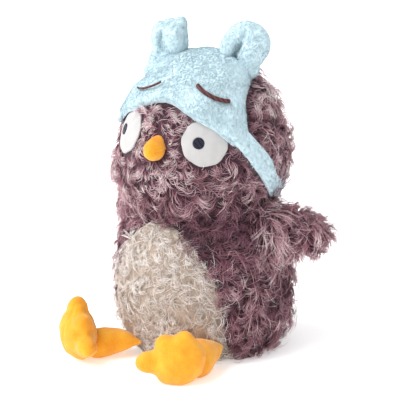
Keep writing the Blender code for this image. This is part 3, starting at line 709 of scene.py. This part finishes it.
def growFur(stem, node, look, place, seeds):
    # the curls, and the darker under-fur between them
    shell = outerShell(node)
    growLocks(f"{stem}Fur", shell, look, "furLocks", *place, seeds[0])
    growLocks(f"{stem}Under", shell, {**look, **underShares}, "furUnder", *place, seeds[1])
    shell.free()


furrySkin("torsoSkin", "body_skin", "furCloth", "torso", "shaggy_brown_plush")
furrySkin("bellyPanel", "belly_panel", "bellyCloth", "torso", "shaggy_cream_plush")
legNodes = ["leg_skin_left", "leg_skin_right"]
legCover = coverOf(legNodes)
wingAndLegCover = coverOf(legNodes + ["wing_skin_left", "wing_skin_right"])
bellyCover = coverOf(["belly_panel"])
torsoFur = {
    "flattest": 0.88,  # fur grows where the skin's normal is less upright than this
    "hemHeight": 1.2 * mm,
    "farRoom": 26 * mm,  # beside the belly's right edge the fur lies flat and runs back
    "farWay": (-0.4, 1.4, 0.0),
    "farLift": 0.3,
    "farLength": 0.7,
    # where the painted shade under the chin falls, and how dark it is
    "chinHeights": (84 * mm, 106 * mm, 128 * mm, 142 * mm),
    "chinTurns": (-10, 20, 85, 120),
    "chinTint": 0.7,
    "lowTints": ((15 * mm, 75 * mm), (0.32, 0.12)),  # heights, and how much darker the fur is there
    "bellyTints": ((20 * mm, 95 * mm), (-0.25, 0.3)),
}


def onTorsoSide(place, normal):
    return abs(normal[2]) < torsoFur["flattest"] and place[2] > torsoFur["hemHeight"]


def nearBelly(places):
    # 1 at the belly panel's right edge, 0 past the room
    found = np.array([bellyCover.find_nearest(Vector(p))[3] for p in places])
    return np.clip(1 - found / torsoFur["farRoom"], 0, 1) * (places[:, 0] < 0)


def torsoFlow(places, normals):
    return downFlow(places, normals) + np.array(torsoFur["farWay"]) * nearBelly(places)[:, None]


def torsoShort(places):
    return 1 - (1 - torsoFur["farLength"]) * nearBelly(places)


def torsoFlat(places):
    return 1 - (1 - torsoFur["farLift"]) * nearBelly(places)


def chinShade(places):
    # darker under the chin, on the side turned from the light
    turned = np.degrees(np.arctan2(places[:, 0], -places[:, 1]))
    low = np.interp(places[:, 2], torsoFur["chinHeights"], (0, 1, 1, 0))
    return torsoFur["chinTint"] * low * np.interp(turned, torsoFur["chinTurns"], (0, 1, 1, 0))


def torsoTone(places):
    # painted shade under the chin, and darker towards the bottom
    return -chinShade(places) - np.interp(places[:, 2], *torsoFur["lowTints"])


def bellyTone(places):
    return np.interp(places[:, 2], *torsoFur["bellyTints"])


torsoLook = {**furLook, "keep": onTorsoSide, "shorten": torsoShort, "flatten": torsoFlat, "tone": torsoTone}
torsoPlace = ("torso", "shaggy_brown_plush", wingAndLegCover, torsoFlow)
growFur("torso", "body_skin", torsoLook, torsoPlace, (11, 13))

bellyShell = outerShell("belly_panel")
bellyLook.update({"keep": onTorsoSide, "tone": bellyTone})
bellyPlace = ("torso", "shaggy_cream_plush", legCover, downFlow)
growLocks("bellyFur", bellyShell, bellyLook, "bellyLocks", *bellyPlace, 12)
bellyShell.free()


# Head

headFur = {
    "coverReach": 14 * mm,
    "strapFurred": ((-125, -48), (95, 130)),  # the turns where the fur falls over the strap
    "outward": 0.7,
    "down": 0.8,
    "lowestNormal": -0.85,
    "faceLength": ((12 * mm, 55 * mm), (0.62, 1.0)),  # distances from the beak's middle, and lengths there
    "crownHeights": (200 * mm, 222 * mm),
    "crownRoom": 25 * mm,
    "crownLength": 0.55,
    "crownLift": 0.4,
    "paleTints": ((135 * mm, 178 * mm), (0.04, 0.22)),
    "browHeights": (150 * mm, 172 * mm),
    "browWidth": 26 * mm,
    "faceDepth": 50 * mm,
}


def markPressed(made, cover):
    # 1 where the mask and its strap press the fur flat
    pressedHere = made.data.attributes.new("pressed", "FLOAT", "POINT")
    for v, mark in zip(made.data.vertices, pressedHere.data):
        hit = cover.ray_cast(v.co - v.normal * justInside, v.normal, headFur["coverReach"])[0]
        mark.value = float(hit is not None)


headSkin = furrySkin("headSkin", "head_skin", "furCloth", "head", "shaggy_brown_plush")
markPressed(headSkin, coverOf(["mask_front", "strap_cover"]))


def azimuthOf(place):
    # degrees from straight ahead, positive on the left side
    return math.degrees(math.atan2(place.x, -place.y))


def faceCoverTree():
    # what the head's fur keeps clear of
    bm = cadCopy("strap_cover")

    def furred(face):
        azimuth = azimuthOf(face.calc_center_median())
        return any(low < azimuth < high for low, high in headFur["strapFurred"])

    bmesh.ops.delete(bm, geom=[f for f in bm.faces if furred(f)], context="FACES")
    for node in ("eye_felt_left", "eye_felt_right", "pupil_left", "pupil_right", "beak_skin", "mask_front"):
        bm.from_mesh(nodes[node].data)
    return treeOf(bm)


faceCover = faceCoverTree()
beakLow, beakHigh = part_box("beak_skin")
beakMiddle = (beakLow + beakHigh) / 2


def headFlow(places, normals):
    # down and away from the beak
    out = places - np.array(beakMiddle)
    return unit(out) * headFur["outward"] + downFlow(places, normals) * headFur["down"]


def aboveNeck(place, normal):
    return normal[2] > headFur["lowestNormal"]


def backCrown(places):
    # 1 on the back of the crown
    high = np.interp(places[:, 2], headFur["crownHeights"], (0, 1))
    return high * np.interp(places[:, 1], (0, headFur["crownRoom"]), (0, 1))


def headShort(places):
    # shorter round the beak and the eyes, and longest on the crown
    far = np.linalg.norm(places - np.array(beakMiddle), axis=1)
    face = np.interp(far, *headFur["faceLength"])
    return face * (1 + headFur["crownLength"] * backCrown(places))


def headLift(places):
    return 1 + headFur["crownLift"] * backCrown(places)


def headTone(places):
    # paler on the face and most between the eyes
    high = np.interp(places[:, 2], *headFur["paleTints"])
    front = np.interp(places[:, 1], (-headFur["faceDepth"], 0), (1, 0))
    between = np.exp(-((places[:, 0] / headFur["browWidth"]) ** 2))
    between *= np.interp(places[:, 2], headFur["browHeights"], (0, 1))
    # less the painted shade under the chin
    return high + between * front - chinShade(places)


headLook = {**furLook, "keep": aboveNeck, "shorten": headShort, "flatten": headLift, "tone": headTone}
headPlace = ("head", "shaggy_brown_plush", faceCover, headFlow)
growFur("head", "head_skin", headLook, headPlace, (21, 22))


# Wings

wing = {
    # along the left wing to its tip, and back along the right one
    "ways": {"left": (0.8, 0.6, -0.35), "right": (-0.3, 1.0, -0.4)},
    "seeds": {"left": 31, "right": 32},
    "lift": ((78 * mm, 92 * mm, 108 * mm), (0.4, 0.9, 1.5)),
    "shoulder": (66 * mm, 84 * mm),
    "shoulderHeights": (92 * mm, 102 * mm),
    "shoulderLength": 0.7,
    "frontDepths": (10 * mm, 40 * mm),  # the right wing's front, where the fur is combed flat
    "frontFlat": 0.7,
    "frontShort": 0.45,
}


def wingFlow(side):
    return lambda places, normals: np.tile(wing["ways"][side], (len(places), 1))


def wingFront(places):
    return np.interp(places[:, 1], wing["frontDepths"], (1, 0)) * (places[:, 0] < 0)


def wingLift(places):
    # the fur stands up along the top of the wing and lies flat below it
    lift = np.interp(places[:, 2], *wing["lift"])
    return lift * (1 - wing["frontFlat"] * wingFront(places))


def wingLong(places):
    # longest on top of the shoulder
    root = np.interp(np.abs(places[:, 0]), wing["shoulder"], (1, 0))
    top = np.interp(places[:, 2], wing["shoulderHeights"], (0, 1))
    return (1 + wing["shoulderLength"] * root * top) * (1 - wing["frontShort"] * wingFront(places))


wingLook = {
    **furLook,
    "fibres": 3500,
    "lengths": (10 * mm, 18 * mm),
    "swirl": 0.5,
    "turnSpread": 0.45,
    "sag": 0.2,
    "flatten": wingLift,
    "shorten": wingLong,
}
noCover = coverOf(["pellet_bag"])  # deep inside, so it covers nothing
for side in bodySides:
    node, name, body = f"wing_skin_{side}", side.title(), f"wing_{side}"
    furrySkin(f"wingSkin{name}", node, "furCloth", body, "shaggy_brown_plush")
    wingShell = outerShell(node)
    wingPlace = (body, "shaggy_brown_plush", noCover, wingFlow(side))
    growLocks(f"wingFur{name}", wingShell, wingLook, "furLocks", *wingPlace, wing["seeds"][side])
    wingShell.free()
print("fur grown")


# Legs and feet: short yellow plush, softly rounded

foot = {
    "voxel": 1.1 * mm,
    "fillet": 2.6 * mm,
    "swell": 0.5 * mm,
    "lumps": (7 * mm, 0.7 * mm),  # size and depth
    "seam": (0.7 * mm, 1.0 * mm),  # depth and width
    "turn": math.radians(33),
    "fill": 0.85,
}
leg = {"voxel": 1.1 * mm, "swell": 0.4 * mm, "lumps": (11 * mm, 0.9 * mm), "fill": 0.7}


def seamAt(middle, across, depth, width):
    # a sewn line where a plane cuts the surface
    def sink(place, normal):
        away = (place - middle).dot(across)
        return -depth * math.exp(-((away / width) ** 2))

    return sink


def yellowPiece(bm, kind, side):
    # stands on the floor, in place of the skin and its stuffing
    for v in bm.verts:
        v.co.z = max(v.co.z, 0)
    name, body = f"{kind}{side.title()}", f"{kind}_{side}"
    replaced = (f"{kind}_skin_{side}", f"{kind}_stuffing_{side}")
    made = finished(name, bm, "yellowPlush", body, "yellow_short_plush", *replaced)


def makeFoot(side, sign):
    bm = remeshed(cadCopy(f"foot_skin_{side}", f"foot_stuffing_{side}"), foot["voxel"])
    bm = filleted(bm, foot["fillet"], foot["voxel"], 3)
    swollen(bm, foot["swell"])
    if side == "right":
        # its sole's seam shows
        low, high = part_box(f"foot_skin_{side}")
        across = Vector((-math.cos(foot["turn"]), -sign * math.sin(foot["turn"]), 0))
        swollen(bm, seamAt((low + high) / 2, across, *foot["seam"]))
    swollen(bm, lumps(*foot["lumps"], sign))
    yellowPiece(bm, "foot", side)


def makeLeg(side, sign):
    bm = remeshed(cadCopy(f"leg_skin_{side}", f"leg_stuffing_{side}"), leg["voxel"])
    swollen(relaxed(bm, 6), leg["swell"])
    swollen(bm, lumps(*leg["lumps"], sign * 3))
    yellowPiece(bm, "leg", side)


for side, sign in bodySides.items():
    makeFoot(side, sign)
    makeLeg(side, sign)
print("legs and feet made")


# Beak

beak = {
    "voxel": 0.7 * mm,
    "swell": 0.4 * mm,
    "seamDrop": 1.5 * mm,
    "seam": (0.55 * mm, 0.9 * mm),
    "lumps": (5 * mm, 0.5 * mm),
    "narrowing": 0.25,
    "heightShare": 0.92,
    "fill": 0.9,
}


def makeBeak():
    layers = ("beak_skin", "beak_stuffing")
    bm = swollen(relaxed(remeshed(cadCopy(*layers), beak["voxel"]), 8), beak["swell"])
    up = Vector((0, 0, 1))
    swollen(bm, seamAt(beakMiddle - up * beak["seamDrop"], up, *beak["seam"]))
    swollen(bm, lumps(*beak["lumps"]))
    halfHeight = (beakHigh.z - beakLow.z) / 2
    for v in bm.verts:
        # a little lower than the solid, and narrower towards its top
        rise = (v.co.z - beakMiddle.z) / halfHeight
        v.co.x = beakMiddle.x + (v.co.x - beakMiddle.x) * (1 - beak["narrowing"] * max(rise, 0))
        v.co.z = beakMiddle.z + rise * halfHeight * beak["heightShare"]
    made = finished("beak", bm, "yellowPlush", "head", "yellow_short_plush", *layers)


makeBeak()


# Eyes

eyes = {
    "voxel": 0.5 * mm,
    "swell": 0.15 * mm,
    "stitches": 8,
    "pull": 0.03,
    "dome": 0.7 * mm,
    "pupilVoxel": 0.35 * mm,
    "pupilSwell": 0.3 * mm,
}


def makeEye(side):
    low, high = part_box(f"eye_felt_{side}")
    middle = (low + high) / 2
    out = (middle - head["centre"]).normalized()
    across = out.orthogonal().normalized()
    up = out.cross(across)
    radius = (high.z - low.z) / 2
    name = side.title()

    def domed(place, normal):
        arm = place - middle
        away = (arm.dot(across) ** 2 + arm.dot(up) ** 2) / radius**2
        return eyes["dome"] * max(1 - away, 0) if normal.dot(out) > 0.3 else 0

    bm = relaxed(remeshed(cadCopy(f"eye_felt_{side}"), eyes["voxel"]), 4)
    swollen(bm, eyes["swell"])
    swollen(bm, domed)
    for v in bm.verts:
        # drawn in where the edge is sewn down
        arm = v.co - middle
        x, y = arm.dot(across), arm.dot(up)
        away = min((x * x + y * y) / radius**2, 1)
        sewn = math.cos(eyes["stitches"] * math.atan2(y, x)) * 0.5 - 0.5
        v.co += (across * x + up * y) * (eyes["pull"] * away * away * sewn)
    finished(f"eyeFelt{name}", bm, "whiteFelt", "head", "white_felt", f"eye_felt_{side}")
    bm = relaxed(remeshed(cadCopy(f"pupil_{side}"), eyes["pupilVoxel"]), 3)
    swollen(bm, eyes["pupilSwell"])
    for v in bm.verts:
        v.co += out * eyes["dome"]
    finished(f"pupil{name}", bm, "pupilThread", "head", "black_thread", f"pupil_{side}")


for side in bodySides:
    makeEye(side)
print("face made")


# Sleep mask

mask = {
    "facing": math.radians(62),
    "turn": math.radians(5),
    "tilt": math.radians(9),
    "halfWidth": 55 * mm,
    "lobeDrop": 32.5 * mm,
    "crownRise": 50 * mm,
    "inside": 2.3 * mm,
    "outlineShares": (
        (0.0, -0.86), (0.16, -0.89), (0.31, -0.96), (0.47, -1.0), (0.63, -0.975), (0.78, -0.91),
        (0.96, -0.84), (1.06, -0.64), (1.04, -0.3), (0.975, 0.0), (0.9, 0.18), (0.8, 0.44),
        (0.72, 0.66), (0.63, 0.86), (0.48, 0.98), (0.25, 1.0), (0.0, 1.0),
    ),
    "rimWidth": 8 * mm,
    "rimLeast": 0.85,
    "puff": 2.2 * mm,
    "puffSize": 19 * mm,
    "puffRoom": 3 * mm,
    "crownPuff": 4.5 * mm,
    "crownStart": 5 * mm,
    "crownRun": 35 * mm,
    "farLift": 13 * mm,
    "farTurns": (-62, -38),
    "farHeights": (172 * mm, 206 * mm),
    "flatTurns": (-100, -80, -52, -42),
    "flatBelow": 190 * mm,
    "foldDepth": 1.6 * mm,
    "foldWidth": 6 * mm,
    "flares": {"left": 9 * mm, "right": 4 * mm},
    "flareSize": 13 * mm,
    "strapTop": 4 * mm,  # the strap's start, and the stretch that tells which way it goes from there
    "strapNext": (18 * mm, 24 * mm),
    "voxel": 1.3 * mm,
    "swell": 0.3 * mm,
    "fill": 0.55,
    "fibres": 29600,
    "napParting": 30 * mm,
    "napOut": 12,
    "napDown": 0.6,
    "napHeight": 3.2 * mm,  # lower down over the head there is no nap
}
maskTurn = Matrix.Rotation(mask["turn"], 3, "Z")
maskNormal = maskTurn @ Vector((0, -math.cos(mask["facing"]), math.sin(mask["facing"])))
maskAcross = Matrix.Rotation(-mask["tilt"], 3, maskNormal) @ maskTurn @ Vector((1, 0, 0))
maskRise = headTurn @ maskNormal.cross(maskAcross)
maskNormal, maskAcross = headTurn @ maskNormal, headTurn @ maskAcross


def maskOutline():
    half = []
    for x, y in mask["outlineShares"]:
        reach = mask["crownRise"] if y > 0 else mask["lobeDrop"]
        half.append((x * mask["halfWidth"], y * reach))
    return np.array(half + [(-x, y) for x, y in reversed(half[1:-1])])


maskEdge = maskOutline()


def insideMask(place):
    # how far a place lies inside the mask's outline, seen along its normal
    arm = place - head["centre"]
    point = np.array((arm.dot(maskAcross), arm.dot(maskRise)))
    following = np.roll(maskEdge, -1, axis=0)
    edge = following - maskEdge
    share = np.clip(((point - maskEdge) * edge).sum(axis=1) / (edge**2).sum(axis=1), 0, 1)
    return np.linalg.norm(maskEdge + edge * share[:, None] - point, axis=1).min()


def headDown(place):
    # the place on the head under a point, and the height above it
    arm = headTurn.transposed() @ (place - head["centre"])
    size = math.sqrt(sum((a / b) ** 2 for a, b in zip(arm, head["axes"])))
    under = headTurn @ (arm / size) + head["centre"]
    return under, (place - under).length * (1 if size > 1 else -1)


def ramp(value, places, shares):
    return float(np.interp(value, places, shares))


def pressedFlat(place):
    # 1 on the strap beyond the mask's far corner, which lies closer to the head
    return ramp(azimuthOf(place), mask["flatTurns"], (0, 1, 1, 0)) * (place.z < mask["flatBelow"])


def cornerLift(place):
    # how far the mask's far corner is drawn up along the head
    turned = ramp(azimuthOf(place), mask["farTurns"], (1, 0))
    return mask["farLift"] * turned * ramp(place.z, mask["farHeights"], (1, 0))


def alongHead(place, move):
    # a place moved, and then set at the same height above the head again
    height = headDown(place)[1]
    moved = place + move
    under, reached = headDown(moved)
    return moved + (moved - under).normalized() * (height - reached)


eyelidCover = coverOf(["eyelid_stitch_left", "eyelid_stitch_right"])


def foldDepth(place):
    # the mask is drawn in along the eyelids
    away = eyelidCover.find_nearest(place)[3] / mask["foldWidth"]
    return mask["foldDepth"] * math.exp(-away * away)


def strapGoing(sign):
    # where the strap starts on this side, and which way it goes from there
    half = [v.co for v in nodes["strap_cover"].data.vertices if v.co.x * sign > 0]
    top = max(co.z for co in half)
    near, far = mask["strapNext"]
    first = [co for co in half if top - co.z < mask["strapTop"]]
    later = [co for co in half if near < top - co.z < far]
    start, following = sum(first, Vector()) / len(first), sum(later, Vector()) / len(later)
    return start, (following - start).normalized()


strapStarts = {side: strapGoing(sign) for side, sign in bodySides.items()}


def flareAt(place):
    # the mask's lower corners are drawn out along the strap
    total = Vector()
    for side, (start, way) in strapStarts.items():
        away = (place - start).length / mask["flareSize"]
        total += way * (mask["flares"][side] * math.exp(-away * away))
    return total


def makeMask():
    bm = relaxed(remeshed(cadCopy("mask_front"), mask["voxel"]), 6)
    for v in bm.verts:
        v.co = alongHead(v.co, flareAt(v.co) + maskRise * cornerLift(v.co))
    for v in bm.verts:
        under, height = headDown(v.co)
        out = (v.co - under).normalized()
        depth = min(insideMask(v.co) / mask["rimWidth"], 1)
        full = math.sqrt(1 - (1 - depth) ** 2)
        share = mask["rimLeast"] + (1 - mask["rimLeast"]) * full
        raised = max(height - mask["inside"], 0) * share
        rise = (v.co - head["centre"]).dot(maskRise)
        puff = mask["crownPuff"] * min(max((rise - mask["crownStart"]) / mask["crownRun"], 0), 1)
        puff = mask["puff"] * noise.noise(v.co / mask["puffSize"]) + puff
        raised = max(raised - foldDepth(v.co), 0)
        puff = puff * full * min(raised / mask["puffRoom"], 1)
        v.co = under + out * (min(height, mask["inside"]) + raised + puff)
    return swollen(relaxed(bm, 4), mask["swell"])


pileLook = {
    **furLook,
    "perLock": 3,
    "steps": 3,
    "lengths": (1.9 * mm, 3.1 * mm),
    "lifts": (0.25, 0.5),
    "settle": 0.1,
    "swirlSize": 16 * mm,
    "swirl": 0.6,
    "turnSpread": 0.15,
    "bend": 0.3,
    "curls": (0.1, 0.3),
    "curl": 0.2 * mm,
    "gather": 0.35,
    "sag": 0.0,
    "strays": 0.02,
    "thickness": 0.12 * mm,
    "lowest": 0.0,
    "coverReach": 4 * mm,
    "coverRoom": 1 * mm,
    "nearShort": 0.0,
}


def aboveHead(place, normal):
    under, height = headDown(Vector(place))
    return height > mask["napHeight"] and (Vector(place) - under).dot(Vector(normal)) > 0


def maskFlow(places, normals):
    # from a place high on the mask towards its edge, and down
    parting = np.array(head["centre"] + maskRise * mask["napParting"])
    return (places - parting) * mask["napOut"] - np.array((0, 0, mask["napDown"]))


def nappedPiece(name, bm, fill, replaced, pileName, pileChanges, flow, seed):
    # a plush piece of the mask, and the short nap on it
    shell = bm.copy()
    bmesh.ops.triangulate(shell, faces=shell.faces)
    shell.normal_update()
    made = finished(name, bm, "maskCloth", "mask", "blue_mask_plush", *replaced)
    look = {**pileLook, **pileChanges}
    growLocks(pileName, shell, look, "maskPile", "mask", "blue_mask_plush", noCover, flow, seed)
    shell.free()


maskPile = {"fibres": mask["fibres"], "keep": aboveHead}
nappedPiece("maskFront", makeMask(), mask["fill"], ["mask_front"], "maskPile", maskPile, maskFlow, 41)
print("mask made")


# Strap and ears

strap = {
    "voxel": 1.0 * mm,
    "swell": 0.3 * mm,
    "flatShare": 0.2,
    "liftTurns": (-130, -75, -5, 0),
    "heights": (130 * mm, 150 * mm, 175 * mm),
    "nearSlides": (-4.5, 0, 3),  # degrees round the head at those heights
    "farSlides": (0, -4, 0),
    "slideRoom": (-35 * mm, 35 * mm),
    "sunk": ((86, 98, 126, 150), (0, 0.55, 0.5, 0)),
    "fibres": 7800,
}
strapNodes = ["strap_cover", "strap_elastic"]


def strapSlide(place):
    # steeper down the near cheek than the solid, and farther back on the far one
    near = np.interp(place.z, strap["heights"], strap["nearSlides"])
    far = np.interp(place.z, strap["heights"], strap["farSlides"])
    return float(far + (near - far) * np.interp(place.x, strap["slideRoom"], (0, 1)))


def makeStrap():
    bm = remeshed(cadCopy(*strapNodes), strap["voxel"])
    swollen(relaxed(bm, 4), strap["swell"])
    for v in bm.verts:
        v.co += (headDown(v.co)[0] - v.co) * (strap["flatShare"] * pressedFlat(v.co))
        lifted = ramp(azimuthOf(v.co), strap["liftTurns"], (0, 1, 1, 0))
        v.co = alongHead(v.co, maskRise * (lifted * cornerLift(v.co)))
        v.co = Matrix.Rotation(math.radians(strapSlide(v.co)), 3, "Z") @ v.co
        v.co += (headDown(v.co)[0] - v.co) * ramp(azimuthOf(v.co), *strap["sunk"])
    return bm


strapPile = {"fibres": strap["fibres"], "keep": aboveHead}
nappedPiece("strapCover", makeStrap(), None, strapNodes, "strapPile", strapPile, downFlow, 42)

ears = {
    "x": 35.5 * mm,
    "back": 8 * mm,
    "height": 258.5 * mm,
    "splays": {"left": math.radians(8), "right": math.radians(34)},
    "voxel": 1.0 * mm,
    "fillet": 2.5 * mm,
    "lumps": (4 * mm, 0.3 * mm),
    "fill": 0.7,
    "fibres": 5500,
    "napDrop": 25 * mm,  # the nap runs away from a place this far under the ear's middle
    "seeds": {"left": 43, "right": 44},
}
# in mm and degrees, each lobe's middle (across, up, forward), half sizes and lean
earLobes = {
    "left": (
        ((1, 1, -0.5), (21, 19.5, 7.5), 0),
        ((-14, -3.5, 3.5), (8, 13, 7), -4),
        ((6, -7, 3), (11.5, 13, 7.5), -18),
        ((-3, -21, 0), (15, 9, 11), 0),
        ((-11, -22, 1), (11, 7, 10), 0),
    ),
    "right": (
        ((12, 2, 0), (11, 17, 10.5), 14),
        ((15, 13, -3), (5.5, 9.5, 6), -16),
        ((-8, -1, 1), (13, 16, 10), 8),
        ((1, 1, -3), (17, 18, 6), 8),
        ((-5, -19, 4), (13, 12, 11), 0),
        ((-5, -28, 9), (13, 9, 11), 0),
    ),
}
# each hollow's middle (across, up), half sizes, depth and lean
earHollows = {
    "left": (
        ((-0.5, 7.5), (2.2, 8.0), 4.0, -22),
        ((-5.5, -3.0), (2.8, 7.5), 7.5, -32),
        ((-9.0, -11.5), (3.2, 6.5), 8.5, -9),
    ),
    "right": (((-1.0, -4.0), (4.0, 13.0), 9.0, 8),),
}


def makeEar(side, sign):
    # soft lobes grown into one, with hollows folded into its front
    turned = headTurn @ Matrix.Rotation(sign * ears["splays"][side] + mask["turn"], 3, "Z")
    across, up, forward = turned @ Vector((1, 0, 0)), Vector((0, 0, 1)), turned @ Vector((0, -1, 0))
    middle = headTurn @ Matrix.Rotation(mask["turn"], 3, "Z") @ Vector((sign * ears["x"], ears["back"], 0))
    middle.z = ears["height"]
    bm = bmesh.new()
    for place, halves, lean in earLobes[side]:
        at = middle + (across * place[0] + up * place[1] + forward * place[2]) * mm
        tilt = Matrix.Rotation(math.radians(lean), 3, forward)
        axes = [tilt @ across * halves[0], tilt @ up * halves[1], tilt @ forward * halves[2]]
        shape = Matrix.Translation(at) @ Matrix([axis * mm for axis in axes]).transposed().to_4x4()
        bmesh.ops.create_uvsphere(bm, u_segments=24, v_segments=12, radius=1, matrix=shape)
    bmesh.ops.recalc_face_normals(bm, faces=bm.faces)
    bm = filleted(remeshed(bm, ears["voxel"]), ears["fillet"], ears["voxel"], 2)
    for place, halves, depth, lean in earHollows[side]:
        at = middle + (across * place[0] + up * place[1]) * mm
        tilt = Matrix.Rotation(math.radians(lean), 3, forward)
        pressed(bm, at, tilt @ across, tilt @ up, -forward, halves[0] * mm, halves[1] * mm, depth * mm)
    bm = relaxed(remeshed(relaxed(bm, 2), ears["voxel"]), 3)
    swollen(bm, lumps(*ears["lumps"], sign))
    root, name = np.array(middle - up * ears["napDrop"]), side.title()
    pile = (f"earPile{name}", {"fibres": ears["fibres"]}, lambda places, normals: places - root)
    nappedPiece(f"maskEar{name}", bm, ears["fill"], [f"mask_ear_{side}"], *pile, ears["seeds"][side])


eyelids = {"voxel": 0.5 * mm, "swells": {"left": 0.85 * mm, "right": -0.1 * mm}, "sunkShare": 0.75}


def makeEyelid(side):
    bm = relaxed(remeshed(cadCopy(f"eyelid_stitch_{side}"), eyelids["voxel"]), 1)
    swollen(bm, eyelids["swells"][side])
    for v in bm.verts:
        # into the mask's fold
        v.co += (headDown(v.co)[0] - v.co).normalized() * (eyelids["sunkShare"] * mask["foldDepth"])
    name = f"eyelidStitch{side.title()}"
    finished(name, bm, "eyelidThread", "mask", "brown_thread", f"eyelid_stitch_{side}")


for side, sign in bodySides.items():
    makeEar(side, sign)
    makeEyelid(side)
print("strap, ears and eyelids made")


# Pieces inside

inner = {
    "body_stuffing": ("filling", "torso", "polyester_filling"),
    "pellet_bag": ("bagCotton", "torso", "bag_cotton"),
    "head_stuffing": ("filling", "head", "polyester_filling"),
    "mask_padding": ("filling", "mask", "polyester_filling"),
    "mask_lining": ("satin", "mask", "blue_satin"),
    "wing_stuffing_left": ("filling", "wing_left", "polyester_filling"),
    "wing_stuffing_right": ("filling", "wing_right", "polyester_filling"),
    "seat_panel": ("furCloth", "torso", "shaggy_brown_plush"),
}
for node, (materialName, body, slotName) in inner.items():
    words = node.split("_")
    name = words[0] + "".join(word.title() for word in words[1:])
    made = finished(name, divided(node), materialName, body, slotName, node)
print("inner pieces made")


# Floor, light and camera

studio = {
    "floorSize": 3.0,
    "floorDrop": 0.2 * mm,
    "floorColour": (0.97, 0.97, 0.97),
    "worldColour": (1.0, 1.0, 1.0),
    "floorGlow": 0.4,
    "worldStrength": 0.76,
    "keyStrength": 3.3,
    "keySpread": math.radians(60),
    "keyFrom": (-0.5, -0.7, 0.95),
}
camera = {
    "azimuth": math.radians(36),
    "elevation": math.radians(13.5),
    "distance": 1.6,
    "target": Vector((-3 * mm, 0, 124 * mm)),
    "lens": 169.4,
    "farthest": 20,
}

bm = bmesh.new()
bmesh.ops.create_grid(bm, x_segments=1, y_segments=1, size=studio["floorSize"])
floor = meshObject("floor", bm)
floorMaterial, _, floorShader = newMaterial("floorPaper", 0.9)
floorShader.inputs["Base Color"].default_value = (*studio["floorColour"], 1)
floorShader.inputs["Emission Color"].default_value = (1, 1, 1, 1)
floorShader.inputs["Emission Strength"].default_value = studio["floorGlow"]
floor.data.materials.append(floorMaterial)
floor.location.z = -studio["floorDrop"]

world = bpy.data.worlds.new("studioWorld")
world.use_nodes = True
background = world.node_tree.nodes["Background"]
background.inputs["Color"].default_value = (*studio["worldColour"], 1)
background.inputs["Strength"].default_value = studio["worldStrength"]
scene.world = world

keyLight = bpy.data.lights.new("keyLight", "SUN")
keyLight.energy = studio["keyStrength"]
keyLight.angle = studio["keySpread"]
key = newObject("keyLight", keyLight)
key.rotation_euler = Vector(studio["keyFrom"]).to_track_quat("Z", "Y").to_euler()
scene.view_settings.view_transform = "Standard"

turn, rise = camera["azimuth"], camera["elevation"]
back = Vector((math.sin(turn) * math.cos(rise), -math.cos(turn) * math.cos(rise), math.sin(rise)))
view = newObject("camera", bpy.data.cameras.new("camera"))
view.location = camera["target"] + back * camera["distance"]
view.rotation_euler = back.to_track_quat("Z", "Y").to_euler()
view.data.lens = camera["lens"]
view.data.clip_end = camera["farthest"]
scene.camera = view

print("scene ready")
